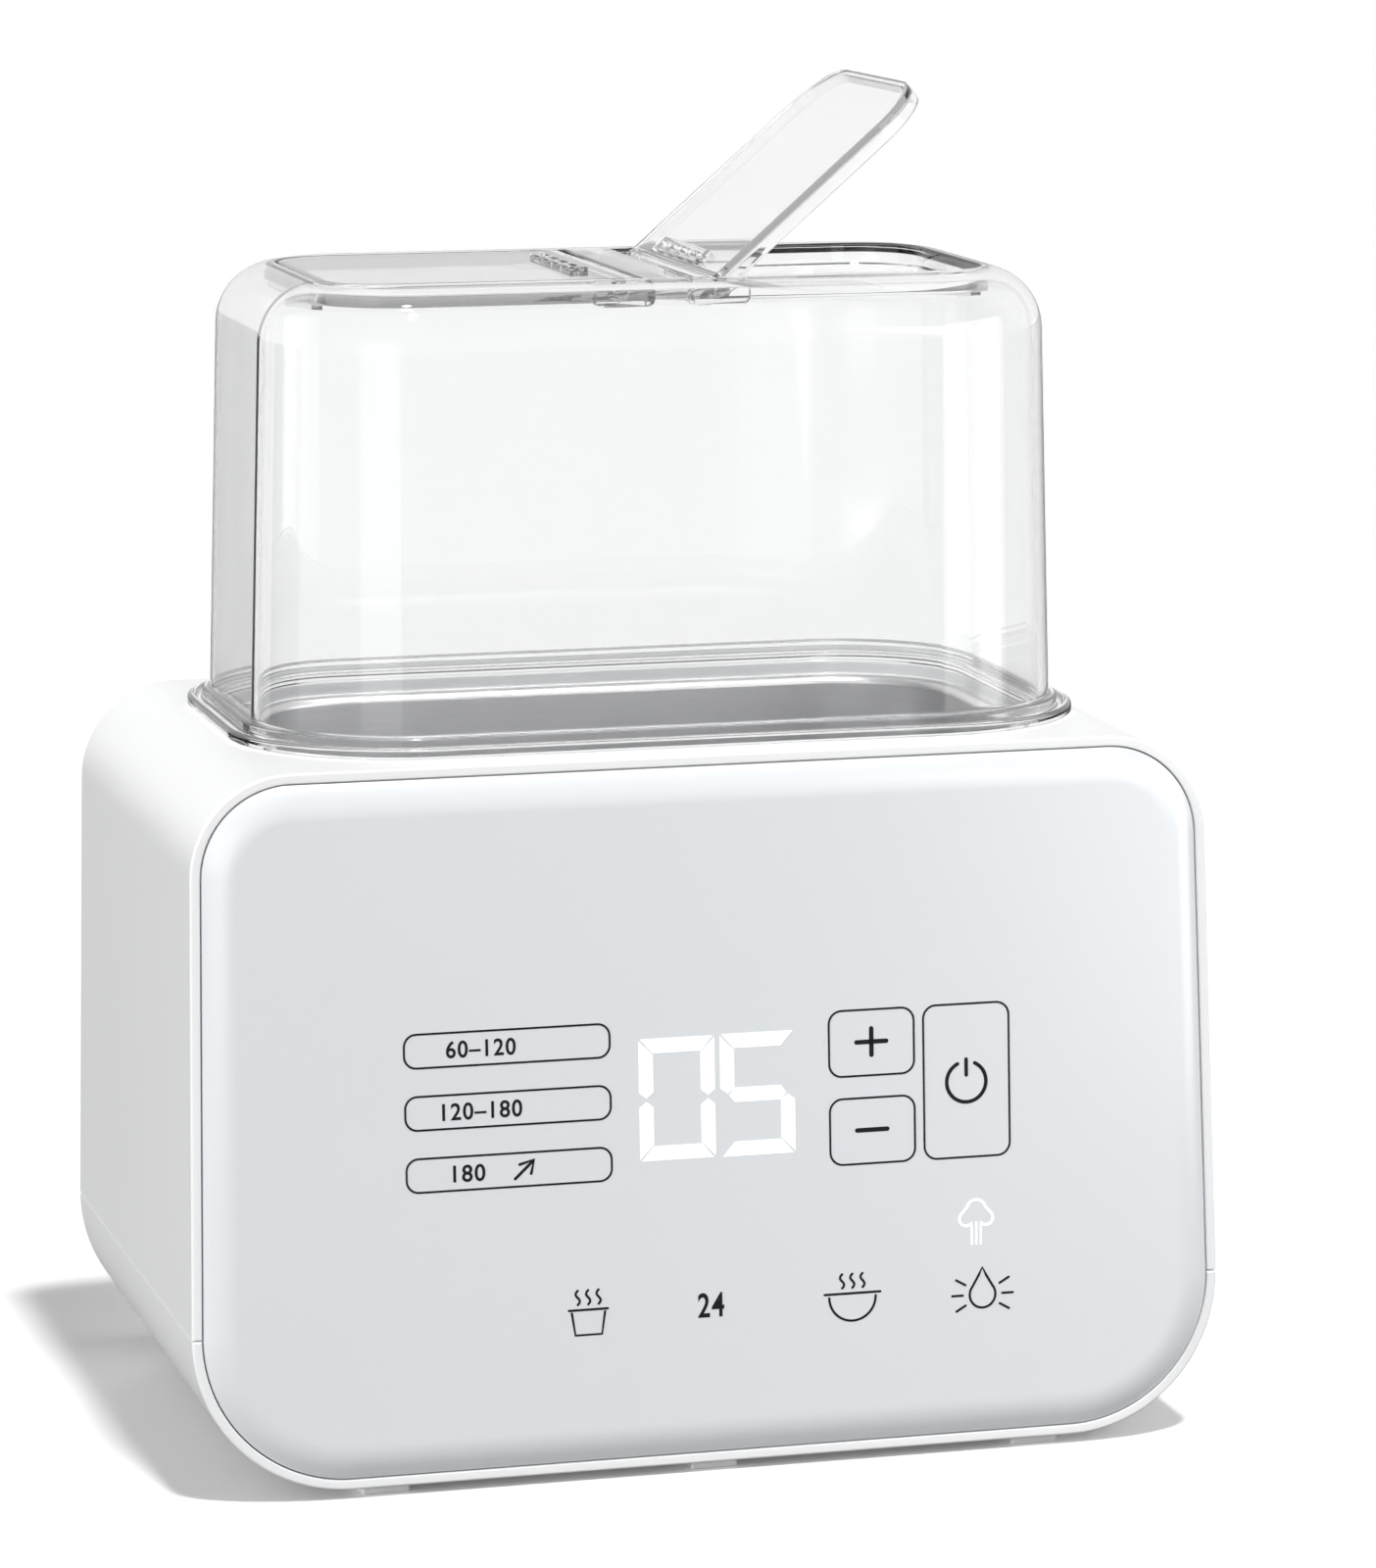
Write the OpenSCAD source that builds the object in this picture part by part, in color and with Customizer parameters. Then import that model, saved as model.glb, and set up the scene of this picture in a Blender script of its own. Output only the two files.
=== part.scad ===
// A countertop steam sterilizer: a drafted casing with a leaning front panel,
// a heated tank, a clear lift-off hood and two hinged flaps in the hood's roof.
// X runs to the right, Y to the rear and Z up. Sizes are in millimetres.

/* [Body] */
// Width of the body along its bottom edge
body_w = 220; // [216:1:240]
// Depth of the body along its bottom edge
body_d = 135; // [132:1:150]
// Height of the body above its feet
body_h = 146.5; // [142:0.5:165]
// Inward slope of each side wall in degrees
side_draft = 1.2; // [0.2:0.1:2]
// Backward lean of the front face in degrees
front_lean = 3.6; // [2:0.1:5]
// Radius of the two upper corners
top_r = 21; // [16:0.5:26]
// Radius of the two lower corners
bottom_r = 32.5; // [26:0.5:36]
// Thickness of the casing walls, seen as the ring round the front panel
wall = 2.1; // [1.8:0.1:3]
// Thickness of the rear wall
rear_t = 2.6; // [2:0.1:4]
// Height of the parting line above the bottom edge
seam_h = 32.85; // [30:0.05:40]
// Width of the parting line
seam_gap = 0.2; // [0.1:0.05:0.8]
// Height of the tongue behind the parting line
tongue_h = 4; // [2:0.5:8]
// Thickness of the tongue behind the parting line
tongue_t = 1.4; // [1:0.1:2]

/* [Feet] */
// Height of the feet below the body
foot_h = 2; // [1:0.5:5]
// Width of each foot
foot_w = 10; // [8:0.5:16]
// Length of each foot from front to rear
foot_l = 14; // [8:0.5:20]
// Distance from the middle foot to the outer feet
foot_pitch = 69.5; // [40:0.5:72]
// Distance of the feet from the front and rear edges
foot_inset = 2.5; // [1:0.5:8]
// Depth of the pocket that holds each foot
foot_sink = 1; // [0.5:0.1:1.4]

/* [Front panel] */
// Thickness of the front panel
panel_t = 3.2; // [2.6:0.1:5]
// Gap between the front panel and the ring
panel_gap = 0.3; // [0.2:0.1:1]
// Width of the rounded-over edge of the front panel
panel_round = 7; // [3:0.5:9]
// Depth of the rounded-over edge of the front panel
panel_drop = 2.2; // [1:0.1:2.4]
// Depth of the front panel's edge behind the ring
panel_sink = 0.2; // [0.1:0.05:0.6]
// Thickness of the frame behind the front panel
frame_t = 2; // [1.5:0.1:3]
// Reach of the rails that the frame rests on
rail_w = 4; // [3:0.5:6]
// Depth of the rails that the frame rests on
rail_d = 4; // [3:0.5:6]

/* [Controls] */
// Distance from the outer touch pads to the control board's edges
board_edge = 16; // [14:0.5:18]
// Sideways place of the amount pads, left of the middle
amount_x = 43; // [40:0.5:46]
// Spacing of the amount pads
amount_pitch = 12.75; // [11:0.05:14]
// Sideways place of the plus and minus pads
step_x = 34; // [31:0.5:36]
// Spacing of the plus and minus pads
step_pitch = 18.2; // [16:0.1:20]
// Sideways place of the power pad
power_key_x = 54.5; // [52:0.5:58]
// Sideways place of the first mode pad
mode_x = -26.8; // [-30:0.1:-24]
// Spacing of the mode pads
mode_pitch = 28; // [26:0.1:29]
// Height of the mode pads on the front face
mode_s = 33.2; // [30:0.1:36]
// Thickness of both circuit boards
board_t = 1.6; // [1:0.1:2]
// Height of the posts between the frame and the control board
standoff = 6; // [5:0.5:6.5]
// Width of the digit display
display_w = 38; // [34:0.5:40]
// Height of the digit display
display_h = 30; // [27:0.5:32]
// Sideways place of the digit display
display_x = 1; // [-2:0.5:3]
// Height of the display's middle on the front face
display_s = 76.2; // [72:0.1:80]
// Radius of each touch spring
spring_r = 3.5; // [2.5:0.1:4]

/* [Tank] */
// Inner depth of the tank below its lip
tank_h = 84; // [78:0.5:92]
// Thickness of the tank's sheet
tank_t = 1.2; // [0.8:0.1:1.6]
// Width of the tank's lip
lip_w = 2.7; // [2:0.1:3.5]
// Radius between the tank's wall and floor
tank_floor_r = 9; // [5:0.5:14]
// Thickness of the gasket under the lip
gasket_t = 1; // [0.6:0.1:2]

/* [Tray] */
// Space between the tray and the tank wall
tray_gap = 2; // [1:0.1:4]
// Thickness of the tray's plate
tray_t = 2; // [1.5:0.1:3]
// Height of the tray's legs
tray_leg_h = 7; // [4:0.5:12]
// Depth of the tray's rim below its plate
tray_rim_h = 2.5; // [1.5:0.5:4]
// Height of the tray's two finger loops
loop_h = 26; // [22:0.5:32]
// Width of the tray's two finger loops
loop_w = 38; // [32:0.5:44]
// Radius of the drain holes in the tray
drain_r = 2.5; // [1.5:0.1:3.5]

/* [Hood] */
// Distance from the casing's side edges to the hood's wall
hood_gap_x = 21; // [16:0.1:26]
// Distance from the casing's front and rear edges to the hood's wall
hood_gap_y = 10.7; // [9:0.1:16]
// Height of the hood's roof above the casing
hood_h = 94.6; // [85:0.2:120]
// Corner radius of the hood's wall at its foot
hood_r = 32; // [28:0.5:36]
// Thickness of the hood's wall
hood_wall = 2; // [1.6:0.1:2.4]
// Inward slope of the hood's wall in degrees
hood_draft = 1.58; // [0.5:0.01:1.7]
// Radius between the hood's wall and roof
roof_r = 13; // [8:0.5:13.4]
// Reach of the hood's flange
flange_w = 4.8; // [4:0.1:5.4]
// Height of the flange's outer bead
bead_h = 2.4; // [2:0.1:3.5]
// Width of the flange's outer bead
bead_w = 2; // [1.6:0.1:2.2]
// Height of the groove floor between bead and step
groove_h = 1.5; // [1:0.1:1.8]
// Height of the step at the foot of the wall
step_h = 4; // [3:0.1:6]
// Reach of the step at the foot of the wall
step_w = 1.6; // [1:0.1:1.8]
// Depth of the locating skirt below the flange
skirt_h = 3; // [2:0.1:3]
// Thickness of the locating skirt
skirt_t = 1.5; // [1:0.1:2]

/* [Flaps] */
// Distance from the foot of the hood's side walls to the flap tips
flap_gap_x = 15.3; // [14.8:0.1:24]
// Distance from the foot of the hood's front and rear walls to the flaps
flap_gap_y = 19.2; // [18.8:0.1:26]
// Thickness of each flap
flap_t = 1.8; // [1.4:0.1:2]
// Corner radius at each flap's tip
flap_r = 13; // [6:0.5:18]
// Full height of each flap's edge
flap_edge_h = 4.3; // [3.6:0.1:4.8]
// Thickness of each flap's edge
flap_edge_t = 1.5; // [1:0.1:2]
// Width of the bridge between the two mouths
bridge_w = 10.4; // [10:0.1:14]
// Distance from the bridge to the hinge axis
hinge_out = 5.6; // [5.4:0.1:7]
// Depth of the hinge axis below the roof
hinge_drop = 2.5; // [2.4:0.1:3]
// Radius of the hinge barrel
barrel_r = 2.2; // [2:0.1:2.4]
// Radius of the hinge pins
pin_r = 1.4; // [1:0.1:1.5]
// Length of the hinge pins
pin_l = 2.6; // [2:0.1:2.6]
// Opening angle at which the right flap stands
open_angle = 41; // [0:1:85]
// Length of the steam vent on each flap
vent_l = 34; // [24:1:44]
// Width of the steam vent on each flap
vent_w = 4; // [3:0.1:5]
// Height of the steam vent above the flap
vent_h = 1; // [0.5:0.1:1.5]

/* [Heater] */
// Length of the heating plate
plate_l = 124; // [120:1:130]
// Width of the heating plate
plate_w = 64; // [60:1:70]
// Thickness of the heating plate
plate_t = 5; // [4:0.5:8]
// Bend radius of the heating element
coil_r = 20; // [17:0.5:22]
// Radius of the heating element's tube
tube_r = 3.2; // [2.8:0.1:3.6]

/* [Power board] */
// Width of the power board
power_w = 100; // [96:1:110]
// Depth of the power board
power_d = 70; // [66:1:76]
// Height of the posts under the power board
post_h = 8; // [6:0.5:10]
// Radius of the bore in the cord gland
gland_r = 3.2; // [3:0.1:3.6]

/* [Hidden] */
$fn = 64;

// Gaps that let pieces move or be put together
run_gap = 0.05;
slip_gap = 0.2;
lift_gap = 0.3;
// Overlap that joins shapes of one piece
bond = 0.4;
// Reach of the cutting shapes
far = 4 * (body_w + body_h);

// Main levels and places of the body
z_low = foot_h;
z_top = foot_h + body_h;
z_seam = foot_h + seam_h;
z_floor = foot_h + wall;
y_front = -body_d / 2;
y_rear = body_d / 2;
hood_y = (y_front + body_h * tan(front_lean) + y_rear) / 2;
hood_w = 2 * (body_w / 2 - body_h * tan(side_draft) - hood_gap_x);
hood_d = body_d - body_h * tan(front_lean) - 2 * hood_gap_y;

// Casing screws
screw_r = 1.8;
screw_head_r = 3.4;
screw_head_h = 2.6;
screw_seat = 12;
screw_l = 48;
screw_clear = 0.2;
post_r = 4.6;
boss_r = 5.4;
screw_x = (body_w / 2 + hood_w / 2) / 2 - wall;
screw_front = hood_y - hood_d / 2 + post_r + wall;
screw_rear = y_rear - rear_t - 2 * post_r;
screw_places = [for (x = [-screw_x, screw_x]) for (y = [screw_front, screw_rear]) [x, y]];

// Levels of the hood and its flaps
z_flange = z_top + lift_gap;
z_roof = z_top + hood_h;
core_x = hood_w / 2 - hood_r;
core_y = hood_d / 2 - hood_r;
flap_tip = hood_w / 2 - flap_gap_x;
flap_d = hood_d - 2 * flap_gap_y;
mouth_gap = 0.4;
mouth_x = bridge_w / 2;
flap_x = mouth_x + 0.7;
hinge_x = mouth_x + hinge_out;
hinge_z = z_roof - hinge_drop;
collar_t = 1.6;
collar_h = 4.7;
lug_h = 5.6;
lug_reach = 3.4;
ledge_h = 1.1;
ledge_w = 1.4;
ledge_l = flap_d - 2 * flap_r;
mouth_d = flap_d + 2 * mouth_gap;
mouth_tip = flap_tip + mouth_gap;
bore_end = 0.3;
vent_x = hinge_x + vent_w;
vent_slots = 4;
vent_slot_w = 1.6;
vent_slot_gap = 2;

// Radii and levels of the tank, counted from the hood's corner axes
rho_seat = hood_r - hood_wall + lift_gap + run_gap;
rho_lip = rho_seat - lift_gap - run_gap;
rho_tank = rho_lip - lip_w;
rho_hole = rho_tank + 2 * slip_gap;
z_lip = z_flange - skirt_h - lift_gap - 2 * run_gap;
z_seat = z_lip - tank_t - gasket_t;
z_tank = z_lip - tank_h;
z_tank_low = z_tank - tank_t;
seat_t = 2.2;
seat_rim = 2;

// Tray levels
z_tray = z_tank + lift_gap + run_gap + tray_leg_h;
rho_tray = rho_tank - tank_t - tray_gap;
tray_rim_t = 1.6;
tray_leg_r = 3;
loop_t = 2.4;
loop_bar = 6;
loop_in = 7;
loop_x = core_x + rho_tray - loop_in;
drain_pitch = 15;
drain_cols = 9;
drain_rows = 4;
tray_leg_x = 3.5 * drain_pitch;

// Heater places
z_plate = z_tank_low - plate_t;
coil_x = -plate_l / 6;
leg_x = plate_l / 4;
tab_w = 6.3;
tab_t = 1;
tab_h = 9;
stud_r = 2;
stud_in = 9;
stud_x = plate_l / 2 - stud_in;
stud_over = 5;
nut_r = 4;
nut_h = 3.2;
cap_r = 8;
cap_h = 5;
can_r = 6;
can_h = 4;
can_tab_w = 4;
can_tab_h = 6;
fuse_x = -16;
fuse_r = 1.6;
fuse_l = 20;
fuse_block = [6, 12, 4.4];
sensor_x = 17;
sensor_r = 3;
sensor_h = 7;
sensor_nut_r = 4.6;
sensor_nut_h = 2.4;

// Power board places
post_in = 5;
power_x = 30;
z_power = z_floor + post_h;
z_power_top = z_power + board_t;
power_post_r = 3.4;
power_posts = [for (sx = [-1, 1]) for (sy = [-1, 1])
               [power_x + sx * (power_w / 2 - post_in),
                hood_y + sy * (power_d / 2 - post_in)]];
tap_r = 1.3;
tap_l = 6;
tap_head_r = 2.6;
tap_head_h = 1.8;
tap_hole_r = 1.5;
block_size = [10, 10, 9];
lead_r = 1.2;
lead_x = leg_x + tab_w / 2;
core_size = [28, 24, 18];
bobbin_size = [18, 34, 12];
part_edge = 4;
core_place = [power_x + power_w / 2 - core_size[0] / 2 - part_edge, 0];
relay_size = [16, 19, 15];
relay_off = 14;
relay_place = [power_x - relay_off, power_d / 2 - relay_size[1] / 2 - part_edge];
can2_r = 5;
can2_h = 16;
can2_off = 8;
can2_edge = 14;
can2_place = [power_x - can2_off, can2_r + can2_edge - power_d / 2];
plug_size = [20, 6, 7];
plug_x = 8;
plug_y = hood_y - power_d / 2 + plug_size[1];

// Places of the front panel and the control board, on the front face
panel_proud = panel_drop - panel_sink;
panel_back = panel_t - panel_proud;
z_frame = panel_back + frame_t;
z_board = z_frame + standoff;
pads = concat([for (i = [-1:1]) [-amount_x, display_s + i * amount_pitch]],
              [for (i = [-1, 1]) [step_x, display_s + i * step_pitch / 2]],
              [[power_key_x, display_s]],
              [for (i = [0:3]) [mode_x + i * mode_pitch, mode_s]]);
board_w = 2 * (mode_x + 3 * mode_pitch + board_edge);
board_s = mode_s - board_edge;
board_h = display_s + amount_pitch + board_edge - board_s;
board_posts = [for (sx = [-1, 1]) for (s = [post_in, board_h - post_in])
               [sx * (board_w / 2 - post_in), board_s + s]];
spring_bore = 1.8;
spring_hole = 1;
window_gap = 0.5;
display_gap = 0.3;
buzzer_r = 6;
buzzer_h = 5;
buzzer_place = [buzzer_r + 2 * post_in - board_w / 2, mode_s + board_edge];
ribbon_w = 16;
ribbon_t = 0.8;
ribbon_over = 22;
ribbon_top = board_s + ribbon_over;
plug_mid = z_power_top + plug_size[2] / 2;
ribbon_low = (plug_mid - foot_h) / cos(front_lean) + (plug_y - y_front) * sin(front_lean) - ribbon_t / 2;
ribbon_face = plug_y - plug_size[1] / 2 - run_gap - y_front;
ribbon_end = (ribbon_face - (ribbon_low + ribbon_t) * sin(front_lean)) / cos(front_lean);

// Cord gland in the rear wall
gland_x = -62;
gland_z = foot_h + seam_h / 2 + 2;
gland_rim_r = 8;
gland_rim_t = 1.5;
gland_neck_r = 5;
gland_back_r = 7;
gland_back_t = 1.6;
gland_pad_r = 10.5;
gland_pad_t = 2;

// Vents under the power board
slot_w = 3;
slot_l = 34;
slot_pitch = 9;
slot_count = 6;
slot_x = -66;

// Half width of the body at a level
function side_x(z) = body_w / 2 - (z - z_low) * tan(side_draft);
// Sideways place of a corner's axis
function corner_x(z, r) = side_x(z) - r / cos(side_draft);

// Front view of the body, moved inward by a wall
module body_outline(inset) {
    z_t = z_top - top_r;
    z_b = z_low + bottom_r;
    x_t = corner_x(z_t, top_r);
    x_b = corner_x(z_b, bottom_r);
    r_t = top_r - inset;
    r_b = bottom_r - inset;
    c = cos(side_draft);
    s = sin(side_draft);
    right = [[x_b, z_low + inset], [x_b + r_b * c, z_b + r_b * s],
             [x_t + r_t * c, z_t + r_t * s], [x_t, z_top - inset]];
    left = [for (i = [3:-1:0]) [-right[i][0], right[i][1]]];
    polygon(concat(right, left));
    for (side = [-1, 1]) {
        translate([side * x_b, z_b]) circle(r_b);
        translate([side * x_t, z_t]) circle(r_t);
    }
}

// Stands a flat outline up and gives it a depth
module along_y(y_a, y_b) {
    translate([0, y_b, 0]) rotate([90, 0, 0]) linear_extrude(y_b - y_a) children();
}

// Places shapes on the leaning front face: X right, Y inward, Z up the slope
module on_front() {
    translate([0, y_front, foot_h]) rotate([-front_lean, 0, 0]) children();
}

// Slab between two depths behind the front face
module front_slab(d_a, d_b) {
    on_front() translate([-far, d_a, -far]) cube([2 * far, d_b - d_a, 2 * far]);
}

// Space between two levels
module level_slab(z_a, z_b) {
    translate([-far, -far, z_a]) cube([2 * far, 2 * far, z_b - z_a]);
}

// Casing walls in one piece, before the parting line divides them
module casing_walls() {
    intersection() {
        union() {
            along_y(-body_d, y_rear) difference() {
                body_outline(0);
                body_outline(wall);
            }
            along_y(y_rear - rear_t, y_rear) body_outline(0);
        }
        front_slab(0, far);
    }
}

// Rails behind the panel frame
module frame_rails() {
    intersection() {
        along_y(-body_d, y_rear) difference() {
            body_outline(wall - bond);
            body_outline(wall + rail_w);
        }
        front_slab(z_frame, z_frame + rail_d);
    }
}

// Plan of the hood's wall, moved inward so that its corners have radius rho
module hood_plan(rho) {
    translate([0, hood_y]) {
        square([2 * core_x, 2 * (core_y + rho)], center = true);
        square([2 * (core_x + rho), 2 * core_y], center = true);
        for (sx = [-1, 1]) for (sy = [-1, 1]) translate([sx * core_x, sy * core_y]) circle(rho);
    }
}

// Carries an upright section round the hood's plan
module plan_sweep() {
    translate([0, hood_y, 0]) for (k = [0:3]) {
        along = (k % 2 == 0) ? core_y : core_x;
        out = (k % 2 == 0) ? core_x : core_y;
        rotate([0, 0, 90 * k]) {
            translate([out, along, 0]) rotate([90, 0, 0]) linear_extrude(2 * along) children();
            translate([out, along, 0]) rotate_extrude(angle = 90) children();
        }
    }
}

// Section of a bowl from its axis to radius rho, rounded at its closed end
module bowl_section(rho, z_open, z_closed, fillet, draft) {
    up = (z_closed > z_open) ? 1 : -1;
    c_z = z_closed - up * fillet;
    c_x = rho - abs(c_z - z_open) * tan(draft) - fillet / cos(draft);
    edge = [c_x + fillet * cos(draft), c_z + up * fillet * sin(draft)];
    polygon([[0, z_open], [rho, z_open], edge, [c_x, c_z], [c_x, z_closed], [0, z_closed]]);
    translate([c_x, c_z]) circle(fillet);
}

// Flat plate between the four corner axes of the hood's plan
module core_plate(z_a, z_b) {
    translate([-core_x, hood_y - core_y, z_a]) cube([2 * core_x, 2 * core_y, z_b - z_a]);
}

// Plan of a right-hand flap or mouth from an inner edge to a rounded tip
module tip_plan(x_in, x_tip, depth, r) {
    translate([x_in, hood_y - depth / 2]) square([x_tip - r - x_in, depth]);
    translate([x_tip - r, hood_y - depth / 2 + r]) square([r, depth - 2 * r]);
    for (sy = [-1, 1]) translate([x_tip - r, hood_y + sy * (depth / 2 - r)]) circle(r);
}

// Long screw from below with its head in a counterbore
module casing_screw() {
    translate([0, 0, screw_seat - screw_head_h]) cylinder(r = screw_head_r, h = screw_head_h);
    translate([0, 0, screw_seat - bond]) cylinder(r = screw_r, h = screw_l + bond);
}

// Short screw, its head resting at level zero and its shank pointing down
module board_screw() {
    cylinder(r = tap_head_r, h = tap_head_h);
    translate([0, 0, -tap_l]) cylinder(r = tap_r, h = tap_l + bond);
}

module upper_casing() {
    color("#f4f4f2") difference() {
        union() {
            intersection() {
                union() {
                    casing_walls();
                    frame_rails();
                }
                level_slab(z_seam + seam_gap / 2, far);
            }
            translate([0, 0, z_seat - seat_t]) linear_extrude(z_top - z_seat + seat_t)
                hood_plan(rho_seat + seat_rim);
            intersection() {
                for (p = screw_places) translate([p[0], p[1], z_seam + seam_gap / 2])
                    cylinder(r = post_r, h = body_h);
                along_y(y_front, y_rear) body_outline(wall / 2);
            }
        }
        translate([0, 0, z_seat]) linear_extrude(far) hood_plan(rho_seat);
        translate([0, 0, z_seat - far / 2]) linear_extrude(far) hood_plan(rho_hole);
        for (p = screw_places) translate([p[0], p[1], z_low])
            cylinder(r = screw_r, h = screw_seat + screw_l + 1);
    }
}

module bottom_cover() {
    color("#f2f2f0") difference() {
        union() {
            intersection() {
                union() {
                    casing_walls();
                    intersection() {
                        frame_rails();
                        translate([-foot_pitch, y_front, 0]) cube([2 * foot_pitch, body_d, z_seam / 2]);
                    }
                }
                level_slab(0, z_seam - seam_gap / 2);
            }
            intersection() {
                along_y(y_front + z_frame + 2 * rail_d, y_rear - rear_t - slip_gap) difference() {
                    body_outline(wall + run_gap);
                    body_outline(wall + tongue_t);
                }
                level_slab(z_seam - tongue_h, z_seam + tongue_h);
            }
            intersection() {
                along_y(y_front + z_frame + 2 * rail_d, y_rear - rear_t + bond) difference() {
                    body_outline(wall - bond);
                    body_outline(wall + tongue_t);
                }
                level_slab(z_seam - tongue_h, z_seam - seam_gap / 2);
            }
            intersection() {
                for (p = screw_places) translate([p[0], p[1], z_low])
                    cylinder(r = boss_r, h = seam_h + seam_gap / 2);
                along_y(y_front, y_rear) body_outline(wall / 2);
            }
            for (p = power_posts) translate([p[0], p[1], z_floor - bond])
                cylinder(r = power_post_r, h = post_h + bond);
            translate([gland_x, y_rear - rear_t + bond, gland_z]) rotate([90, 0, 0])
                cylinder(r = gland_pad_r, h = gland_pad_t + bond);
        }
        for (p = screw_places) translate([p[0], p[1], -bond]) {
            cylinder(r = screw_head_r + screw_clear, h = screw_seat + bond);
            cylinder(r = screw_r + screw_clear, h = far);
        }
        for (p = power_posts) translate([p[0], p[1], z_power_top - tap_l])
            cylinder(r = tap_r, h = far);
        for (i = [-1:1]) for (side = [-1, 1]) foot_shape(i, side, run_gap, z_low - bond, z_low + foot_sink);
        for (i = [0:slot_count - 1])
            translate([slot_x + i * slot_pitch - slot_w / 2, hood_y - slot_l / 2, -bond])
                cube([slot_w, slot_l, z_floor + 2 * bond]);
        translate([gland_x, y_rear + bond, gland_z]) rotate([90, 0, 0]) {
            cylinder(r = gland_rim_r + slip_gap, h = gland_rim_t + bond);
            cylinder(r = gland_neck_r, h = far / 8);
        }
    }
}

// One foot between two levels; side -1 is the front row
module foot_shape(i, side, grow, z_a, z_b) {
    y_mid = side * (body_d / 2 - foot_inset - foot_l / 2);
    translate([i * foot_pitch - foot_w / 2 - grow, y_mid - foot_l / 2 - grow, z_a])
        cube([foot_w + 2 * grow, foot_l + 2 * grow, z_b - z_a]);
}

module feet() {
    color("#d9d9d6") for (i = [-1:1]) for (side = [-1, 1])
        foot_shape(i, side, 0, 0, z_low + foot_sink);
}

module casing_screws() {
    color("#9aa0a6") for (p = screw_places) translate([p[0], p[1], 0]) casing_screw();
}

module front_panel() {
    arc = (panel_round * panel_round + panel_drop * panel_drop) / (2 * panel_drop);
    steps = 5;
    thin = 0.02;
    edge = wall + panel_gap;
    layers = concat([[edge, panel_sink, panel_back]], [for (k = [1:steps])
                    let (in = panel_round * k / steps,
                         d = arc - sqrt(arc * arc - pow(panel_round - in, 2)) - panel_proud)
                    [edge + in, d, d + thin]]);
    color("#dfe3e7") hull() for (l = layers)
        multmatrix([[1, 0, 0, 0],
                    [0, 1, tan(front_lean), y_front + l[1] / cos(front_lean) - foot_h * tan(front_lean)],
                    [0, 0, 1, 0]])
            along_y(0, (l[2] - l[1]) / cos(front_lean)) body_outline(l[0], $fn = 40);
}

module panel_frame() {
    color("#e4e4e2") difference() {
        union() {
            intersection() {
                along_y(-body_d, y_rear) body_outline(wall + slip_gap);
                front_slab(panel_back, z_frame);
            }
            on_front() for (p = board_posts) translate([p[0], z_board, p[1]]) rotate([90, 0, 0])
                cylinder(r = power_post_r, h = standoff + bond);
        }
        on_front() {
            for (p = board_posts) translate([p[0], z_board + bond, p[1]]) rotate([90, 0, 0])
                cylinder(r = tap_r, h = tap_l - board_t + bond);
            for (p = pads) translate([p[0], z_board, p[1]]) rotate([90, 0, 0])
                cylinder(r = spring_r + spring_hole, h = far / 8);
            translate([display_x - display_w / 2 - window_gap, 0, display_s - display_h / 2 - window_gap])
                cube([display_w + 2 * window_gap, z_board, display_h + 2 * window_gap]);
        }
    }
}

module control_board() {
    color("#2f6b46") on_front() difference() {
        translate([-board_w / 2, z_board, board_s]) cube([board_w, board_t, board_h]);
        for (p = board_posts) translate([p[0], z_board + board_t + bond, p[1]]) rotate([90, 0, 0])
            cylinder(r = tap_hole_r, h = board_t + 2 * bond);
    }
}

module display_module() {
    color("#202226") on_front()
        translate([display_x - display_w / 2, panel_back + display_gap, display_s - display_h / 2])
            cube([display_w, z_board - panel_back - display_gap, display_h]);
}

module touch_springs() {
    color("#b08d57") on_front() for (p = pads) translate([p[0], z_board, p[1]]) rotate([90, 0, 0])
        difference() {
            cylinder(r = spring_r, h = z_board - panel_back);
            translate([0, 0, -bond]) cylinder(r = spring_bore, h = z_board + 2 * bond);
        }
}

module buzzer() {
    color("#1d1d1f") on_front()
        translate([buzzer_place[0], z_board + board_t + buzzer_h, buzzer_place[1]]) rotate([90, 0, 0])
            difference() {
                cylinder(r = buzzer_r, h = buzzer_h);
                translate([0, 0, -bond]) cylinder(r = 1, h = buzzer_h / 2);
            }
}

module tank() {
    color("#9b9ea1") difference() {
        union() {
            plan_sweep() {
                difference() {
                    bowl_section(rho_tank, z_lip, z_tank_low, tank_floor_r, 0);
                    bowl_section(rho_tank - tank_t, z_lip, z_tank, tank_floor_r - tank_t, 0);
                }
                translate([rho_tank - tank_t / 2, z_lip - tank_t])
                    square([rho_lip - rho_tank + tank_t / 2, tank_t]);
            }
            core_plate(z_tank_low, z_tank);
            for (sx = [-1, 1]) translate([sx * stud_x, hood_y, z_plate - stud_over])
                cylinder(r = stud_r, h = plate_t + stud_over + tank_t / 2);
        }
    }
}

module tank_gasket() {
    color("#c9cccf") translate([0, 0, z_seat]) linear_extrude(gasket_t) difference() {
        hood_plan(rho_lip);
        hood_plan(rho_hole);
    }
}

// Bent tube of the heating element
module coil_tube() {
    translate([coil_x, hood_y, z_plate]) {
        rotate([0, 0, 90]) rotate_extrude(angle = 180) translate([coil_r, 0]) circle(tube_r);
        for (sy = [-1, 1]) translate([0, sy * coil_r, 0]) rotate([0, 90, 0])
            cylinder(r = tube_r, h = leg_x - coil_x);
    }
}

module heating_plate() {
    end_r = plate_w / 2;
    color("#b9bcc0") difference() {
        translate([0, hood_y, z_plate]) linear_extrude(plate_t) {
            square([plate_l - 2 * end_r, plate_w], center = true);
            for (sx = [-1, 1]) translate([sx * (plate_l / 2 - end_r), 0]) circle(end_r);
        }
        coil_tube();
        for (sx = [-1, 1]) translate([sx * stud_x, hood_y, z_plate - bond])
            cylinder(r = stud_r + slip_gap, h = plate_t + 2 * bond);
    }
}

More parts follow.
